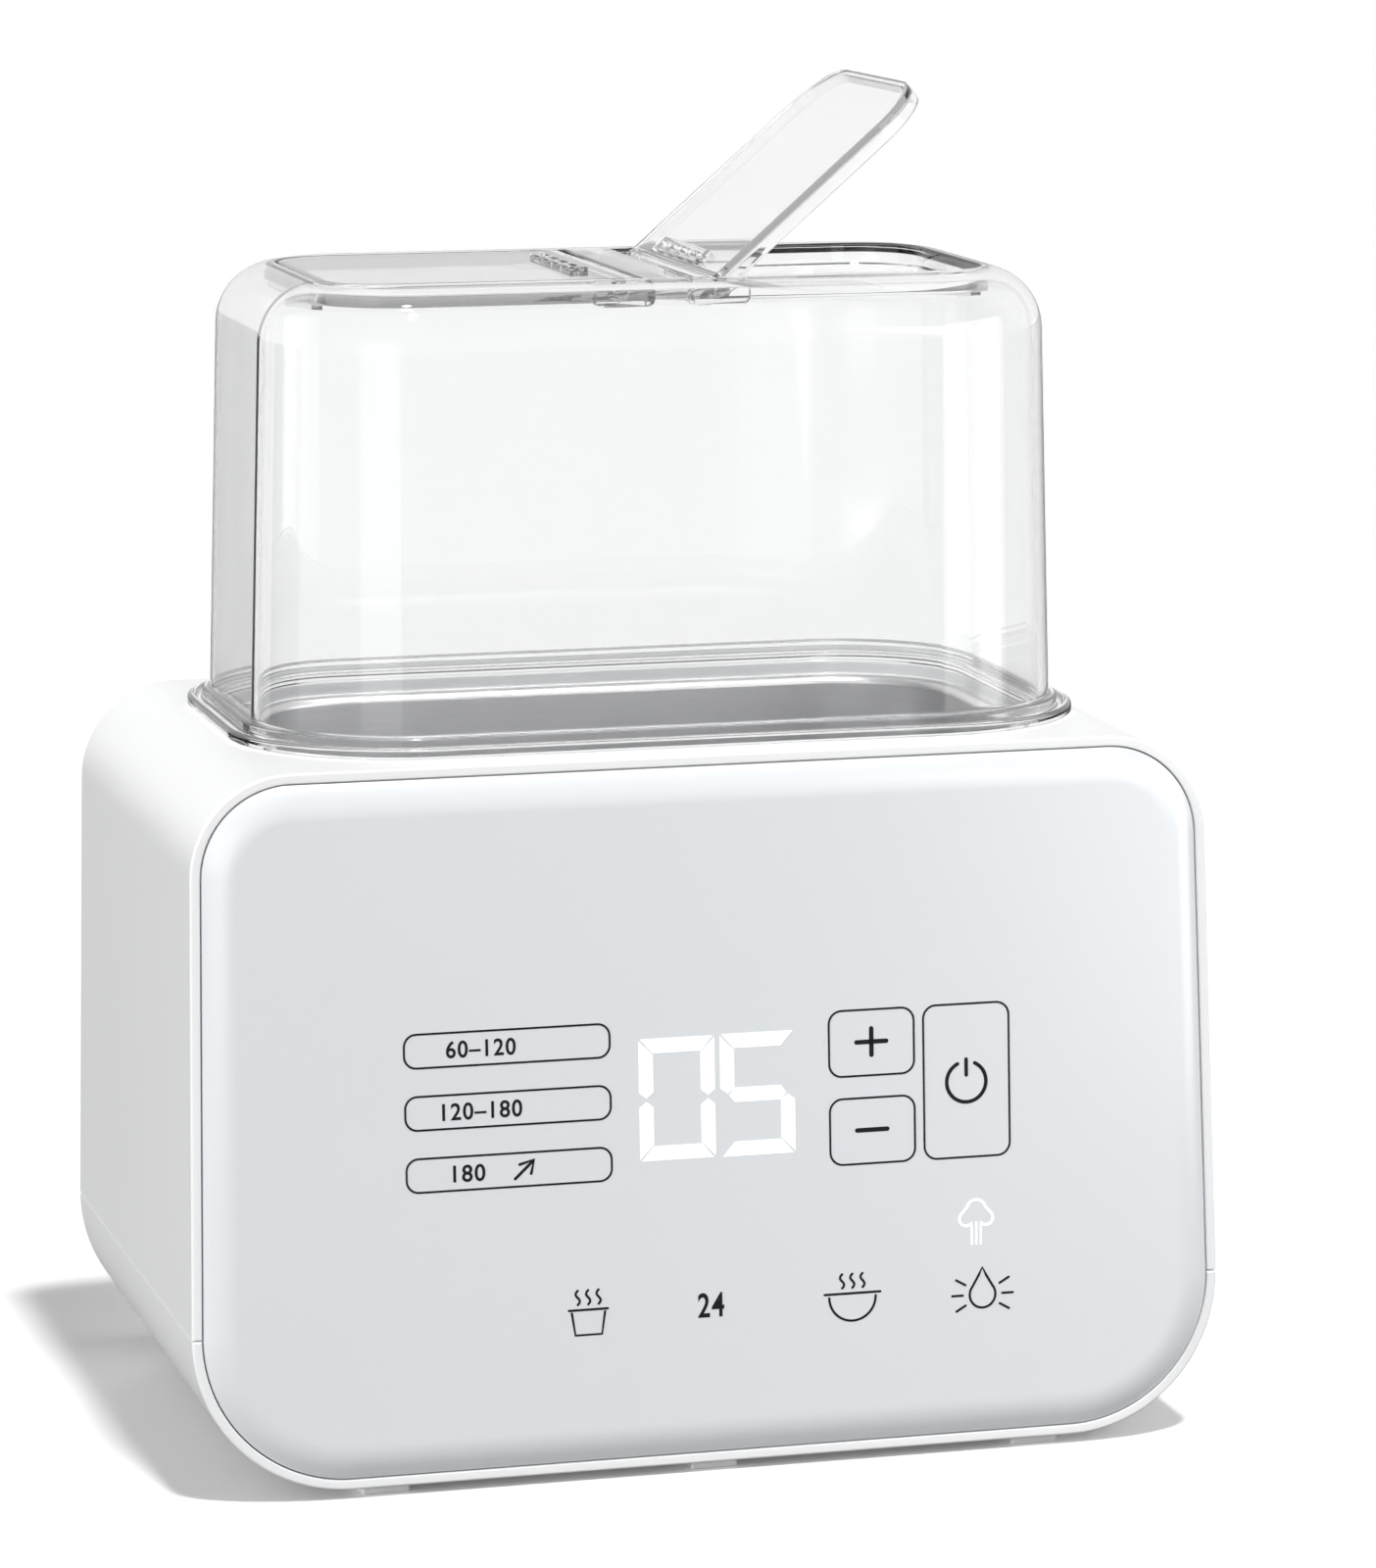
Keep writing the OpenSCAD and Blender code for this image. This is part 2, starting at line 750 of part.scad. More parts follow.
module heating_element() {
    color("#8d7f74") {
        coil_tube();
        for (sy = [-1, 1]) translate([leg_x - bond, hood_y + sy * coil_r - tab_t / 2, z_plate - tab_h])
            cube([tab_w + bond, tab_t, tab_h]);
    }
}

module plate_nuts() {
    color("#a5a9ad") for (sx = [-1, 1]) translate([sx * stud_x, hood_y, z_plate - nut_h]) difference() {
        cylinder(r = nut_r, h = nut_h, $fn = 6);
        translate([0, 0, -bond]) cylinder(r = stud_r, h = nut_h + 2 * bond);
    }
}

module thermostat() {
    color("#3a3a3c") translate([0, hood_y, z_plate - cap_h]) {
        cylinder(r = cap_r, h = cap_h);
        translate([0, 0, -can_h]) cylinder(r = can_r, h = can_h + bond);
        for (sy = [-1, 1]) translate([-can_tab_w / 2, sy * can_r / 2 - tab_t / 2, -can_h - can_tab_h])
            cube([can_tab_w, tab_t, can_tab_h + bond]);
    }
}

module thermal_fuse() {
    color("#d8d2c4") translate([fuse_x, hood_y, z_plate - fuse_block[2] / 2]) {
        cube(fuse_block, center = true);
        translate([0, fuse_l / 2, 0]) rotate([90, 0, 0]) cylinder(r = fuse_r, h = fuse_l);
    }
}

module temperature_sensor() {
    color("#c8a24a") translate([sensor_x, hood_y, z_plate - sensor_h]) {
        cylinder(r = sensor_r, h = sensor_h);
        translate([0, 0, sensor_h - 2 * sensor_nut_h]) cylinder(r = sensor_nut_r, h = sensor_nut_h, $fn = 6);
    }
}

module power_board() {
    color("#2b6a8a") difference() {
        union() {
            translate([power_x - power_w / 2, hood_y - power_d / 2, z_power])
                cube([power_w, power_d, board_t]);
            translate([plug_x - plug_size[0] / 2, plug_y - plug_size[1] / 2, z_power_top - bond])
                cube([plug_size[0], plug_size[1], plug_size[2] + bond]);
        }
        for (p = power_posts) translate([p[0], p[1], z_power - bond])
            cylinder(r = tap_hole_r, h = board_t + 2 * bond);
    }
}

// Block standing on the power board
module board_block(place, size) {
    translate([place[0] - size[0] / 2, hood_y + place[1] - size[1] / 2, z_power_top]) cube(size);
}

module transformer() {
    color("#4a4038") {
        board_block(core_place, core_size);
        translate([0, 0, (core_size[2] - bobbin_size[2]) / 2]) board_block(core_place, bobbin_size);
    }
}

module relay() {
    color("#1f4e8c") board_block(relay_place, relay_size);
}

module capacitor() {
    color("#34363a") translate([can2_place[0], hood_y + can2_place[1], z_power_top]) difference() {
        cylinder(r = can2_r, h = can2_h);
        for (turn = [0, 90]) rotate([0, 0, turn]) translate([-can2_r, -tab_t / 4, can2_h - tab_t / 2])
            cube([2 * can2_r, tab_t / 2, tab_t]);
    }
}

module terminal_blocks() {
    color("#3f7d4e") for (sy = [-1, 1]) board_block([lead_x, sy * coil_r], block_size);
}

module heater_leads() {
    z_a = z_power_top + block_size[2];
    color("#b33a32") for (sy = [-1, 1]) translate([lead_x, hood_y + sy * coil_r, z_a])
        cylinder(r = lead_r, h = z_plate - tab_h - z_a);
}

module ribbon_cable() {
    back = z_board + board_t;
    color("#b9b4a8") on_front() translate([plug_x - ribbon_w / 2, 0, 0]) {
        translate([0, back, ribbon_low]) cube([ribbon_w, ribbon_t, ribbon_top - ribbon_low]);
        translate([0, back, ribbon_low]) cube([ribbon_w, ribbon_end - back, ribbon_t]);
    }
}

module board_screws() {
    color("#8f9499") {
        for (p = power_posts) translate([p[0], p[1], z_power_top]) board_screw();
        on_front() for (p = board_posts) translate([p[0], z_board + board_t, p[1]]) rotate([-90, 0, 0])
            board_screw();
    }
}

module cord_gland() {
    neck = rear_t + gland_pad_t - gland_rim_t;
    color("#303234") translate([gland_x, y_rear, gland_z]) rotate([90, 0, 0]) difference() {
        union() {
            cylinder(r = gland_rim_r, h = gland_rim_t);
            cylinder(r = gland_neck_r, h = gland_rim_t + neck + gland_back_t);
            translate([0, 0, gland_rim_t + neck]) cylinder(r = gland_back_r, h = gland_back_t);
        }
        translate([0, 0, -bond]) cylinder(r = gland_r, h = far / 8);
    }
}

// Arch with a finger window, standing across the tray's end
module finger_loop() {
    translate([-loop_t / 2, hood_y, z_tray]) rotate([90, 0, 90]) linear_extrude(loop_t) difference() {
        union() {
            translate([-loop_w / 2, 0]) square([loop_w, loop_h - loop_bar]);
            translate([-loop_w / 2 + loop_bar, 0]) square([loop_w - 2 * loop_bar, loop_h]);
            for (s = [-1, 1]) translate([s * (loop_w / 2 - loop_bar), loop_h - loop_bar]) circle(loop_bar);
        }
        translate([-loop_w / 2 + loop_bar, loop_bar]) square([loop_w - 2 * loop_bar, loop_h - 2 * loop_bar]);
    }
}

module lift_tray() {
    color("#e9eaec") difference() {
        union() {
            translate([0, 0, z_tray]) linear_extrude(tray_t) hood_plan(rho_tray);
            translate([0, 0, z_tray - tray_rim_h]) linear_extrude(tray_rim_h + tray_t / 2) difference() {
                hood_plan(rho_tray);
                hood_plan(rho_tray - tray_rim_t);
            }
            for (sx = [-1, 0, 1]) for (sy = [-1, 1])
                translate([sx * tray_leg_x, hood_y + sy * drain_pitch, z_tray - tray_leg_h])
                    cylinder(r = tray_leg_r, h = tray_leg_h + bond);
            for (sx = [-1, 1]) translate([sx * loop_x, 0, 0]) finger_loop();
        }
        for (i = [0:drain_cols - 1]) for (j = [0:drain_rows - 1])
            translate([(i - (drain_cols - 1) / 2) * drain_pitch,
                       hood_y + (j - (drain_rows - 1) / 2) * drain_pitch, z_tray - bond])
                cylinder(r = drain_r, h = tray_t + 2 * bond);
    }
}

// Section of the hood's wall, roof, flange and locating skirt
module hood_section() {
    r_out = hood_r + flange_w;
    r_in = hood_r - hood_wall;
    bead = bead_w / 2;
    difference() {
        bowl_section(hood_r, z_flange, z_roof, roof_r, hood_draft);
        bowl_section(r_in, z_flange, z_roof - hood_wall, roof_r - hood_wall, hood_draft);
    }
    translate([r_in + bond, z_flange]) square([r_out - r_in - bond, groove_h]);
    translate([r_out - bead_w, z_flange]) square([bead_w, bead_h - bead]);
    translate([r_out - bead, z_flange + bead_h - bead]) circle(bead);
    translate([r_in + bond, z_flange]) square([hood_wall - bond + step_w, step_h]);
    translate([r_in - skirt_t, z_flange - skirt_h]) square([skirt_t, skirt_h + groove_h]);
}

// Collar, lugs and stop ledge round the right-hand mouth
module mouth_collar() {
    r = flap_r + mouth_gap;
    translate([0, 0, z_roof - collar_h]) linear_extrude(collar_h - hood_wall / 2)
        tip_plan(mouth_x - collar_t, mouth_tip + collar_t, mouth_d + 2 * collar_t, r + collar_t);
    for (sy = [-1, 1]) translate([mouth_x - collar_t, hood_y + sy * (mouth_d / 2 + lug_reach / 2), 0])
        translate([0, -lug_reach / 2, z_roof - lug_h])
            cube([2 * hinge_out + collar_t, lug_reach, lug_h - hood_wall / 2]);
}

// Opening through the roof and collar on the right-hand side
module mouth_hole() {
    r = flap_r + mouth_gap;
    translate([0, 0, z_roof - 2 * collar_h]) linear_extrude(far)
        tip_plan(mouth_x, mouth_tip, mouth_d, r);
    translate([hinge_x, hood_y - mouth_d / 2 - pin_l - bore_end, hinge_z]) rotate([-90, 0, 0])
        cylinder(r = pin_r + run_gap, h = mouth_d + 2 * pin_l + 2 * bore_end);
}

// Ledge that stops the right-hand flap when it closes
module mouth_ledge() {
    z_ledge = z_roof - flap_edge_h - lift_gap - run_gap - ledge_h;
    translate([mouth_tip - ledge_w, hood_y - ledge_l / 2, z_ledge])
        cube([ledge_w + collar_t, ledge_l, ledge_h]);
}

module hood() {
    color([0.86, 0.9, 0.93, 0.35]) {
        difference() {
            union() {
                plan_sweep() hood_section();
                core_plate(z_roof - hood_wall, z_roof);
                mouth_collar();
                mirror([1, 0, 0]) mouth_collar();
            }
            mouth_hole();
            mirror([1, 0, 0]) mouth_hole();
        }
        mouth_ledge();
        mirror([1, 0, 0]) mouth_ledge();
    }
}

// Right-hand flap in its closed place
module flap() {
    nose = flap_t / 2;
    slot = (vent_l - (vent_slots + 1) * vent_slot_gap) / vent_slots;
    difference() {
        union() {
            translate([0, 0, z_roof - flap_t]) linear_extrude(flap_t)
                tip_plan(flap_x + nose, flap_tip, flap_d, flap_r);
            translate([flap_x + nose, hood_y - flap_d / 2, z_roof - nose]) rotate([-90, 0, 0])
                cylinder(r = nose, h = flap_d);
            translate([0, 0, z_roof - flap_edge_h]) linear_extrude(flap_edge_h - flap_t / 2) difference() {
                tip_plan(hinge_x, flap_tip, flap_d, flap_r);
                tip_plan(hinge_x - flap_edge_t, flap_tip - flap_edge_t, flap_d - 2 * flap_edge_t,
                         flap_r - flap_edge_t);
            }
            translate([hinge_x, hood_y - flap_d / 2, hinge_z]) rotate([-90, 0, 0])
                cylinder(r = barrel_r, h = flap_d);
            translate([hinge_x, hood_y - flap_d / 2 - mouth_gap - pin_l, hinge_z]) rotate([-90, 0, 0])
                cylinder(r = pin_r, h = flap_d + 2 * mouth_gap + 2 * pin_l);
            translate([vent_x - vent_w / 2, hood_y - vent_l / 2, z_roof - bond])
                cube([vent_w, vent_l, vent_h + bond]);
        }
        for (i = [0:vent_slots - 1])
            translate([vent_x - vent_slot_w / 2,
                       hood_y - vent_l / 2 + vent_slot_gap + i * (slot + vent_slot_gap), z_roof - far / 8])
                cube([vent_slot_w, slot, far / 4]);
    }
}

module left_flap() {
    color([0.86, 0.9, 0.93, 0.35]) mirror([1, 0, 0]) flap();
}

module right_flap() {
    color([0.86, 0.9, 0.93, 0.35]) translate([hinge_x, 0, hinge_z]) rotate([0, -open_angle, 0])
        translate([-hinge_x, 0, -hinge_z]) flap();
}

upper_casing();
bottom_cover();
feet();
casing_screws();
front_panel();
panel_frame();
control_board();
display_module();
touch_springs();
buzzer();
tank();
tank_gasket();
heating_plate();
heating_element();
plate_nuts();
thermostat();
thermal_fuse();
temperature_sensor();
power_board();
transformer();
relay();
capacitor();
terminal_blocks();
heater_leads();
ribbon_cable();
board_screws();
cord_gland();
lift_tray();
hood();
left_flap();
right_flap();
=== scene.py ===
import math

import bmesh
import bpy
from mathutils import Matrix, Vector
from mathutils.geometry import tessellate_polygon


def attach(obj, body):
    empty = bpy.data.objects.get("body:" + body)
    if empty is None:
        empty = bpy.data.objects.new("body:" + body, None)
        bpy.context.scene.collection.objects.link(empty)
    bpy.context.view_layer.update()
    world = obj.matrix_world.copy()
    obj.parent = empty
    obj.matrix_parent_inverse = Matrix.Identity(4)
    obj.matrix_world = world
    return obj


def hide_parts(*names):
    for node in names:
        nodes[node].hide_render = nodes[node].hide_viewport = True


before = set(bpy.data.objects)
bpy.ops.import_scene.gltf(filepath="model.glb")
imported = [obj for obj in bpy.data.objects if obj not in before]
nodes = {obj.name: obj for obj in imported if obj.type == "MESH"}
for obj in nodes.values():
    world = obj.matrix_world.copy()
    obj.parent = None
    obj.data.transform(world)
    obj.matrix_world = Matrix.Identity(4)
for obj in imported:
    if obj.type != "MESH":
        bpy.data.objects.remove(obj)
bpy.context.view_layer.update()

MM = 0.001
CRISP_ANGLE = math.radians(32)

# Sizes of the body in millimetres, as in the construction
BODY_W = 220.0
BODY_D = 135.0
BODY_H = 146.5
SIDE_DRAFT = math.radians(1.2)
FRONT_LEAN = math.radians(3.6)
TOP_R = 21.0
BOTTOM_R = 32.5
WALL = 2.1
REAR_T = 2.6
FOOT_H = 2.0
SEAM_H = 32.85
SEAM_GAP = 0.2
TONGUE_H = 4.0
TONGUE_T = 1.4
TONGUE_FRONT = 14.0
TONGUE_REAR = 0.3
RUN_GAP = 0.05
LIFT_GAP = 0.3
Z_LOW = FOOT_H
Z_TOP = FOOT_H + BODY_H
Z_SEAM = FOOT_H + SEAM_H
Y_FRONT = -BODY_D / 2
Y_REAR = BODY_D / 2
SIDES = (-1, 1)

# Screw bosses, vents and gland of the bottom cover
SCREW_X = 95.87
SCREW_FRONT = -40.9
SCREW_REAR = 55.7
SCREWS = [(x, y) for x in (-SCREW_X, SCREW_X) for y in (SCREW_FRONT, SCREW_REAR)]
SCREW_SEAT = 12.0
SCREW_HOLE_R = 3.6
BOSS_R = 5.4
VENT_X = -66.0
VENT_PITCH = 9.0
VENT_COUNT = 6
VENT_W = 3.0
VENT_L = 34.0
VENT_CUT_TOP = 6.0
GLAND = (-62.0, 20.43)
GLAND_RIM_R = 8.2
GLAND_RIM_T = 1.5
GLAND_NECK_R = 5.0
GLAND_NECK_L = 4.0
CUT_PAST = 1.0

# Front panel
PANEL_T = 3.2
PANEL_GAP = 0.3
PANEL_ROUND = 7.0
PANEL_DROP = 2.2
PANEL_SINK = 0.2
PANEL_PROUD = 1.98

# Hood
HOOD_GAP_X = 21.0
HOOD_GAP_Y = 10.7
HOOD_H = 94.6
HOOD_R = 32.0
HOOD_WALL = 2.0
HOOD_DRAFT = math.radians(1.58)
ROOF_R = 13.0
FLANGE_W = 4.8
FLANGE_EDGE = 0.4
GROOVE_H = 1.5
BEAD_R = 1.0
BEAD_H = 2.4
STEP_W = 1.6
STEP_H = 4.0
STEP_EDGE = 0.7
SKIRT_H = 3.0
SKIRT_T = 1.5
SKIRT_EDGE = 0.4
HOOD_Y = (Y_FRONT + BODY_H * math.tan(FRONT_LEAN) + Y_REAR) / 2
HOOD_W = 2 * (BODY_W / 2 - BODY_H * math.tan(SIDE_DRAFT) - HOOD_GAP_X)
HOOD_D = BODY_D - BODY_H * math.tan(FRONT_LEAN) - 2 * HOOD_GAP_Y
CORE_X = HOOD_W / 2 - HOOD_R
CORE_Y = HOOD_D / 2 - HOOD_R
Z_FLANGE = Z_TOP + LIFT_GAP
Z_ROOF = Z_TOP + HOOD_H

# Flaps, and the mouths that they close
FLAP_GAP_X = 15.3
FLAP_GAP_Y = 19.2
FLAP_R = 13.0
FLAP_T = 1.8
FLAP_EDGE_H = 4.3
FLAP_EDGE_T = 1.5
FLAP_TIP = HOOD_W / 2 - FLAP_GAP_X
FLAP_D = HOOD_D - 2 * FLAP_GAP_Y
MOUTH_GAP = 0.4
MOUTH_X = 5.2
MOUTH_D = FLAP_D + 2 * MOUTH_GAP
MOUTH_TIP = FLAP_TIP + MOUTH_GAP
FLAP_INNER_GAP = 0.7
FLAP_X = MOUTH_X + FLAP_INNER_GAP
HINGE_OUT = 5.6
HINGE_DROP = 2.5
HINGE_X = MOUTH_X + HINGE_OUT
HINGE_Z = Z_ROOF - HINGE_DROP
BARREL_R = 2.2
BARREL_GAP = 0.02
PIN_R = 1.4
PIN_L = 2.6
BORE_END = 0.3
COLLAR_T = 1.6
COLLAR_H = 4.7
LUG_H = 5.6
LUG_REACH = 3.4
LUG_R = 1.6
LEDGE_H = 1.1
LEDGE_W = 1.4
OPEN_ANGLE = math.radians(41)
RIB_OUT = 2.0
RIB_W = 4.0
RIB_HALF = 17.0
RIB_SLOTS = 4
RIB_SLOT_W = 1.6
RIB_SLOT_L = 6.0
RIB_SLOT_GAP = 2.0

# Tank and its seat in the casing; RHO values are radii round the hood's corner axes
RHO_SEAT = 30.35
RHO_LIP = 30.0
RHO_TANK = 27.3
RHO_HOLE = 27.7
SEAT_T = 2.2
SEAT_RIM = 2.0
TANK_T = 1.2
TANK_H = 84.0
TANK_FLOOR_R = 9.0
LIP_ROLL = 1.7
LIP_EDGE = 0.3
LIP_DROP = 3.4
Z_LIP = Z_FLANGE - LIP_DROP
Z_SEAT = Z_LIP - SEAT_T
Z_TANK = Z_LIP - TANK_H
STUD_X = 53.0
STUD_R = 2.0
STUD_L = 10.0


def spread(first, last, count):
    """Evenly spaced values from first to last."""
    return [first + (last - first) * k / (count - 1) for k in range(count)]


def arc_points(centre, radius, first, last, count):
    """Points of an arc between two angles in degrees."""
    return [(centre[0] + radius * math.cos(math.radians(a)), centre[1] + radius * math.sin(math.radians(a)))
            for a in spread(first, last, count)]


class Shell:
    """Gathers rings of points and the faces between them, in millimetres."""

    def __init__(self):
        self.points = []
        self.faces = []

    def ring(self, points):
        start = len(self.points)
        self.points.extend(points)
        return list(range(start, len(self.points)))

    def bridge(self, a, b, closed=True, skip=()):
        last = len(a) if closed else len(a) - 1
        for i in range(last):
            if i not in skip:
                j = (i + 1) % len(a)
                self.faces.append((a[i], a[j], b[j], b[i]))

    def fill(self, *rings):
        flat = [i for ring in rings for i in ring]
        loops = [[Vector(self.points[i]) for i in ring] for ring in rings]
        self.faces.extend(tuple(flat[k] for k in t) for t in tessellate_polygon(loops))

    def band(self, profile, path):
        """Carries a closed section along an open path; path(grow, z) gives its points."""
        rings = [self.ring(path(g, z)) for g, z in profile]
        for a, b in zip(rings, rings[1:] + rings[:1]):
            self.bridge(a, b, False)
        self.fill([r[0] for r in rings])
        self.fill([r[-1] for r in rings])

    def stack(self, loops):
        """Closed solid from loops laid on each other, with both ends filled."""
        rings = [self.ring(loop) for loop in loops]
        for a, b in zip(rings, rings[1:]):
            self.bridge(a, b)
        self.fill(rings[0])
        self.fill(rings[-1])

    def build(self, name):
        made = bmesh.new()
        verts = [made.verts.new(Vector(p) * MM) for p in self.points]
        for face in self.faces:
            if len(set(face)) > 2:
                try:
                    made.faces.new([verts[i] for i in face])
                except ValueError:
                    continue
        bmesh.ops.remove_doubles(made, verts=made.verts, dist=2e-7)
        bmesh.ops.dissolve_degenerate(made, dist=1e-8, edges=made.edges)
        bmesh.ops.recalc_face_normals(made, faces=made.faces)
        mesh = bpy.data.meshes.new(name)
        made.to_mesh(mesh)
        made.free()
        piece = bpy.data.objects.new(name, mesh)
        bpy.context.scene.collection.objects.link(piece)
        return piece


def combine(piece, operation, *others):
    """Joins other solids to a piece, cuts them out of it or keeps what they share."""
    for other in others:
        step = piece.modifiers.new("shape", "BOOLEAN")
        step.operation = operation
        step.solver = "EXACT"
        step.object = other
        seen = piece.evaluated_get(bpy.context.evaluated_depsgraph_get())
        mesh = bpy.data.meshes.new_from_object(seen)
        piece.modifiers.clear()
        old = piece.data
        piece.data = mesh
        bpy.data.meshes.remove(old)
        bpy.data.objects.remove(other)
    return piece


def even_normals(piece):
    even = piece.modifiers.new("even_normals", "WEIGHTED_NORMAL")
    even.keep_sharp = True


def shade(piece):
    """Smooth faces with crisp edges where they meet more sharply."""
    made = bmesh.new()
    made.from_mesh(piece.data)
    bmesh.ops.remove_doubles(made, verts=made.verts, dist=1e-6)
    bmesh.ops.dissolve_degenerate(made, dist=1e-7, edges=made.edges)
    bmesh.ops.recalc_face_normals(made, faces=made.faces)
    for face in made.faces:
        face.smooth = True
    for edge in made.edges:
        edge.smooth = len(edge.link_faces) == 2 and edge.calc_face_angle(0.0) < CRISP_ANGLE
    made.to_mesh(piece.data)
    made.free()
    even_normals(piece)
    return piece


def dress(piece, material, body, slot, *replaced):
    """Gives a finished piece its material, the body it rides on and the nodes it stands for."""
    piece.data.materials.clear()
    piece.data.materials.append(material)
    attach(piece, body)
    if replaced:
        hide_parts(*replaced)


# Materials

GRAIN_DEPTH = 0.0002
MANY_BENDS = 5.5


def set_inputs(node, values):
    """Gives plain values to a node's inputs."""
    for socket, value in values.items():
        node.inputs[socket].default_value = value


def add_node(tree, kind, values=None):
    """Adds a node with the plain values of its inputs."""
    node = tree.nodes.new(kind)
    set_inputs(node, values or {})
    return node


def wire(tree, *links):
    """Joins outputs to inputs: each link names a node, its output, the next node and its input."""
    for node, output, after, entry in links:
        tree.links.new(node.outputs[output], after.inputs[entry])


def new_material(name, values=None):
    """Material of one skin with its plain values."""
    material = bpy.data.materials.new(name)
    material.use_nodes = True
    tree = material.node_tree
    tree.nodes.clear()
    out = add_node(tree, "ShaderNodeOutputMaterial")
    skin = add_node(tree, "ShaderNodeBsdfPrincipled", values)
    wire(tree, (skin, "BSDF", out, "Surface"))
    return material, tree, skin


def noise(tree, scale, detail):
    return add_node(tree, "ShaderNodeTexNoise", {"Scale": scale, "Detail": detail})


def span(tree, low, high):
    """Brings a pattern's values into a range."""
    return add_node(tree, "ShaderNodeMapRange", {"To Min": low, "To Max": high})


def grain_group(name, third, third_type):
    """Empty grain group: a tone, a dullness and one more value in; a tone, a roughness and a height out."""
    group = bpy.data.node_groups.new(name, "ShaderNodeTree")
    for socket, way, kind in (("Tone", "INPUT", "NodeSocketColor"), ("Dull", "INPUT", "NodeSocketFloat"),
                              (third, "INPUT", third_type), ("Tone", "OUTPUT", "NodeSocketColor"),
                              ("Roughness", "OUTPUT", "NodeSocketFloat"), ("Height", "OUTPUT", "NodeSocketFloat")):
        group.interface.new_socket(socket, in_out=way, socket_type=kind)
    return group, add_node(group, "NodeGroupInput"), add_node(group, "ShaderNodeTexCoord")


def grain_outputs(group, enter, pattern, height, shades, dulls):
    """Varies a grain group's tone and dullness by a pattern and passes a height on."""
    leave = add_node(group, "NodeGroupOutput")
    tint = add_node(group, "ShaderNodeMix")
    tint.data_type = "RGBA"
    tint.blend_type = "MULTIPLY"
    tint.inputs["Factor"].default_value = 1.0
    vary = span(group, *shades)
    matt = span(group, *dulls)
    total = add_node(group, "ShaderNodeMath")
    total.operation = "ADD"
    wire(group, (pattern, "Fac", vary, "Value"), (enter, "Tone", tint, "A"), (vary, "Result", tint, "B"),
         (tint, "Result", leave, "Tone"), (pattern, "Fac", matt, "Value"), (enter, "Dull", total, 0),
         (matt, "Result", total, 1), (total, "Value", leave, "Roughness"), (height, "Fac", leave, "Height"))
    return group


def moulded_grain():
    """Fine unevenness of moulded plastic and rubber."""
    group, enter, place = grain_group("moulded_grain", "Grain", "NodeSocketFloat")
    cloud = noise(group, 14.0, 3.0)
    fine = noise(group, 5.0, 2.0)
    wire(group, (place, "Object", cloud, "Vector"), (place, "Object", fine, "Vector"), (enter, "Grain", fine, "Scale"))
    return grain_outputs(group, enter, cloud, fine, (0.992, 1.008), (-0.03, 0.03))


def brushed_grain():
    """Fine drawn lines of sheet metal."""
    group, enter, place = grain_group("brushed_grain", "Stretch", "NodeSocketVector")
    stretch = add_node(group, "ShaderNodeVectorMath")
    stretch.operation = "MULTIPLY"
    lines = noise(group, 1.0, 4.0)
    wire(group, (place, "Object", stretch, 0), (enter, "Stretch", stretch, 1), (stretch, "Vector", lines, "Vector"))
    return grain_outputs(group, enter, lines, lines, (0.9, 1.06), (-0.08, 0.08))


MOULDED = moulded_grain()
BRUSHED = brushed_grain()


def add_grain(tree, skin, group, bump, values):
    """Feeds a grain group with its values into a skin's colour, roughness and bump."""
    grain = add_node(tree, "ShaderNodeGroup")
    grain.node_tree = group
    set_inputs(grain, values)
    relief = add_node(tree, "ShaderNodeBump", {"Strength": bump, "Distance": GRAIN_DEPTH})
    wire(tree, (grain, "Tone", skin, "Base Color"), (grain, "Roughness", skin, "Roughness"),
         (grain, "Height", relief, "Height"), (relief, "Normal", skin, "Normal"))
    return grain


def plastic(name, colour, dull, grain_scale, bump, coat=0.0, shine=0.5):
    material, tree, skin = new_material(name, {"Specular IOR Level": shine, "Coat Weight": coat,
                                               "Coat Roughness": 0.2, "Coat IOR": 1.7})
    add_grain(tree, skin, MOULDED, bump, {"Tone": (*colour, 1.0), "Dull": dull, "Grain": grain_scale})
    return material


def metal(name, colour, dull, stretch, bump=0.06):
    material, tree, skin = new_material(name, {"Metallic": 1.0})
    add_grain(tree, skin, BRUSHED, bump, {"Tone": (*colour, 1.0), "Dull": dull, "Stretch": stretch})
    return material


def see_through(tree, tone):
    return add_node(tree, "ShaderNodeBsdfTransparent", {"Color": (tone, tone, tone, 1.0)})


def clear_plastic():
    """Clear moulded wall that lets light through; a path bent many times passes straight on, greyed as painted shade
    that draws the dark lines where the walls bend light back and forth.
    """
    material, tree, skin = new_material("clear_plastic", {"Base Color": (0.98, 0.983, 0.985, 1.0), "IOR": 1.49,
                                                          "Transmission Weight": 1.0})
    place = add_node(tree, "ShaderNodeTexCoord")
    flow = noise(tree, 9.0, 2.0)
    haze = span(tree, 0.0, 0.012)
    through = see_through(tree, 0.93)
    # Grey see-through skin for paths bent more than MANY_BENDS times: painted shade for the dark lines along the clear
    # walls' bends
    painted_edge_shade = see_through(tree, 0.58)
    way = add_node(tree, "ShaderNodeLightPath")
    deep = add_node(tree, "ShaderNodeMath", {1: MANY_BENDS})
    deep.operation = "GREATER_THAN"
    bend = add_node(tree, "ShaderNodeMixShader")
    choose = add_node(tree, "ShaderNodeMixShader")
    wire(tree, (place, "Object", flow, "Vector"), (flow, "Fac", haze, "Value"), (haze, "Result", skin, "Roughness"),
         (way, "Ray Depth", deep, 0), (deep, "Value", bend, "Fac"), (skin, "BSDF", bend, 1), (painted_edge_shade, "BSDF", bend, 2),
         (way, "Is Shadow Ray", choose, "Fac"), (bend, "Shader", choose, 1), (through, "BSDF", choose, 2),
         (choose, "Shader", tree.nodes["Material Output"], "Surface"))
    return material


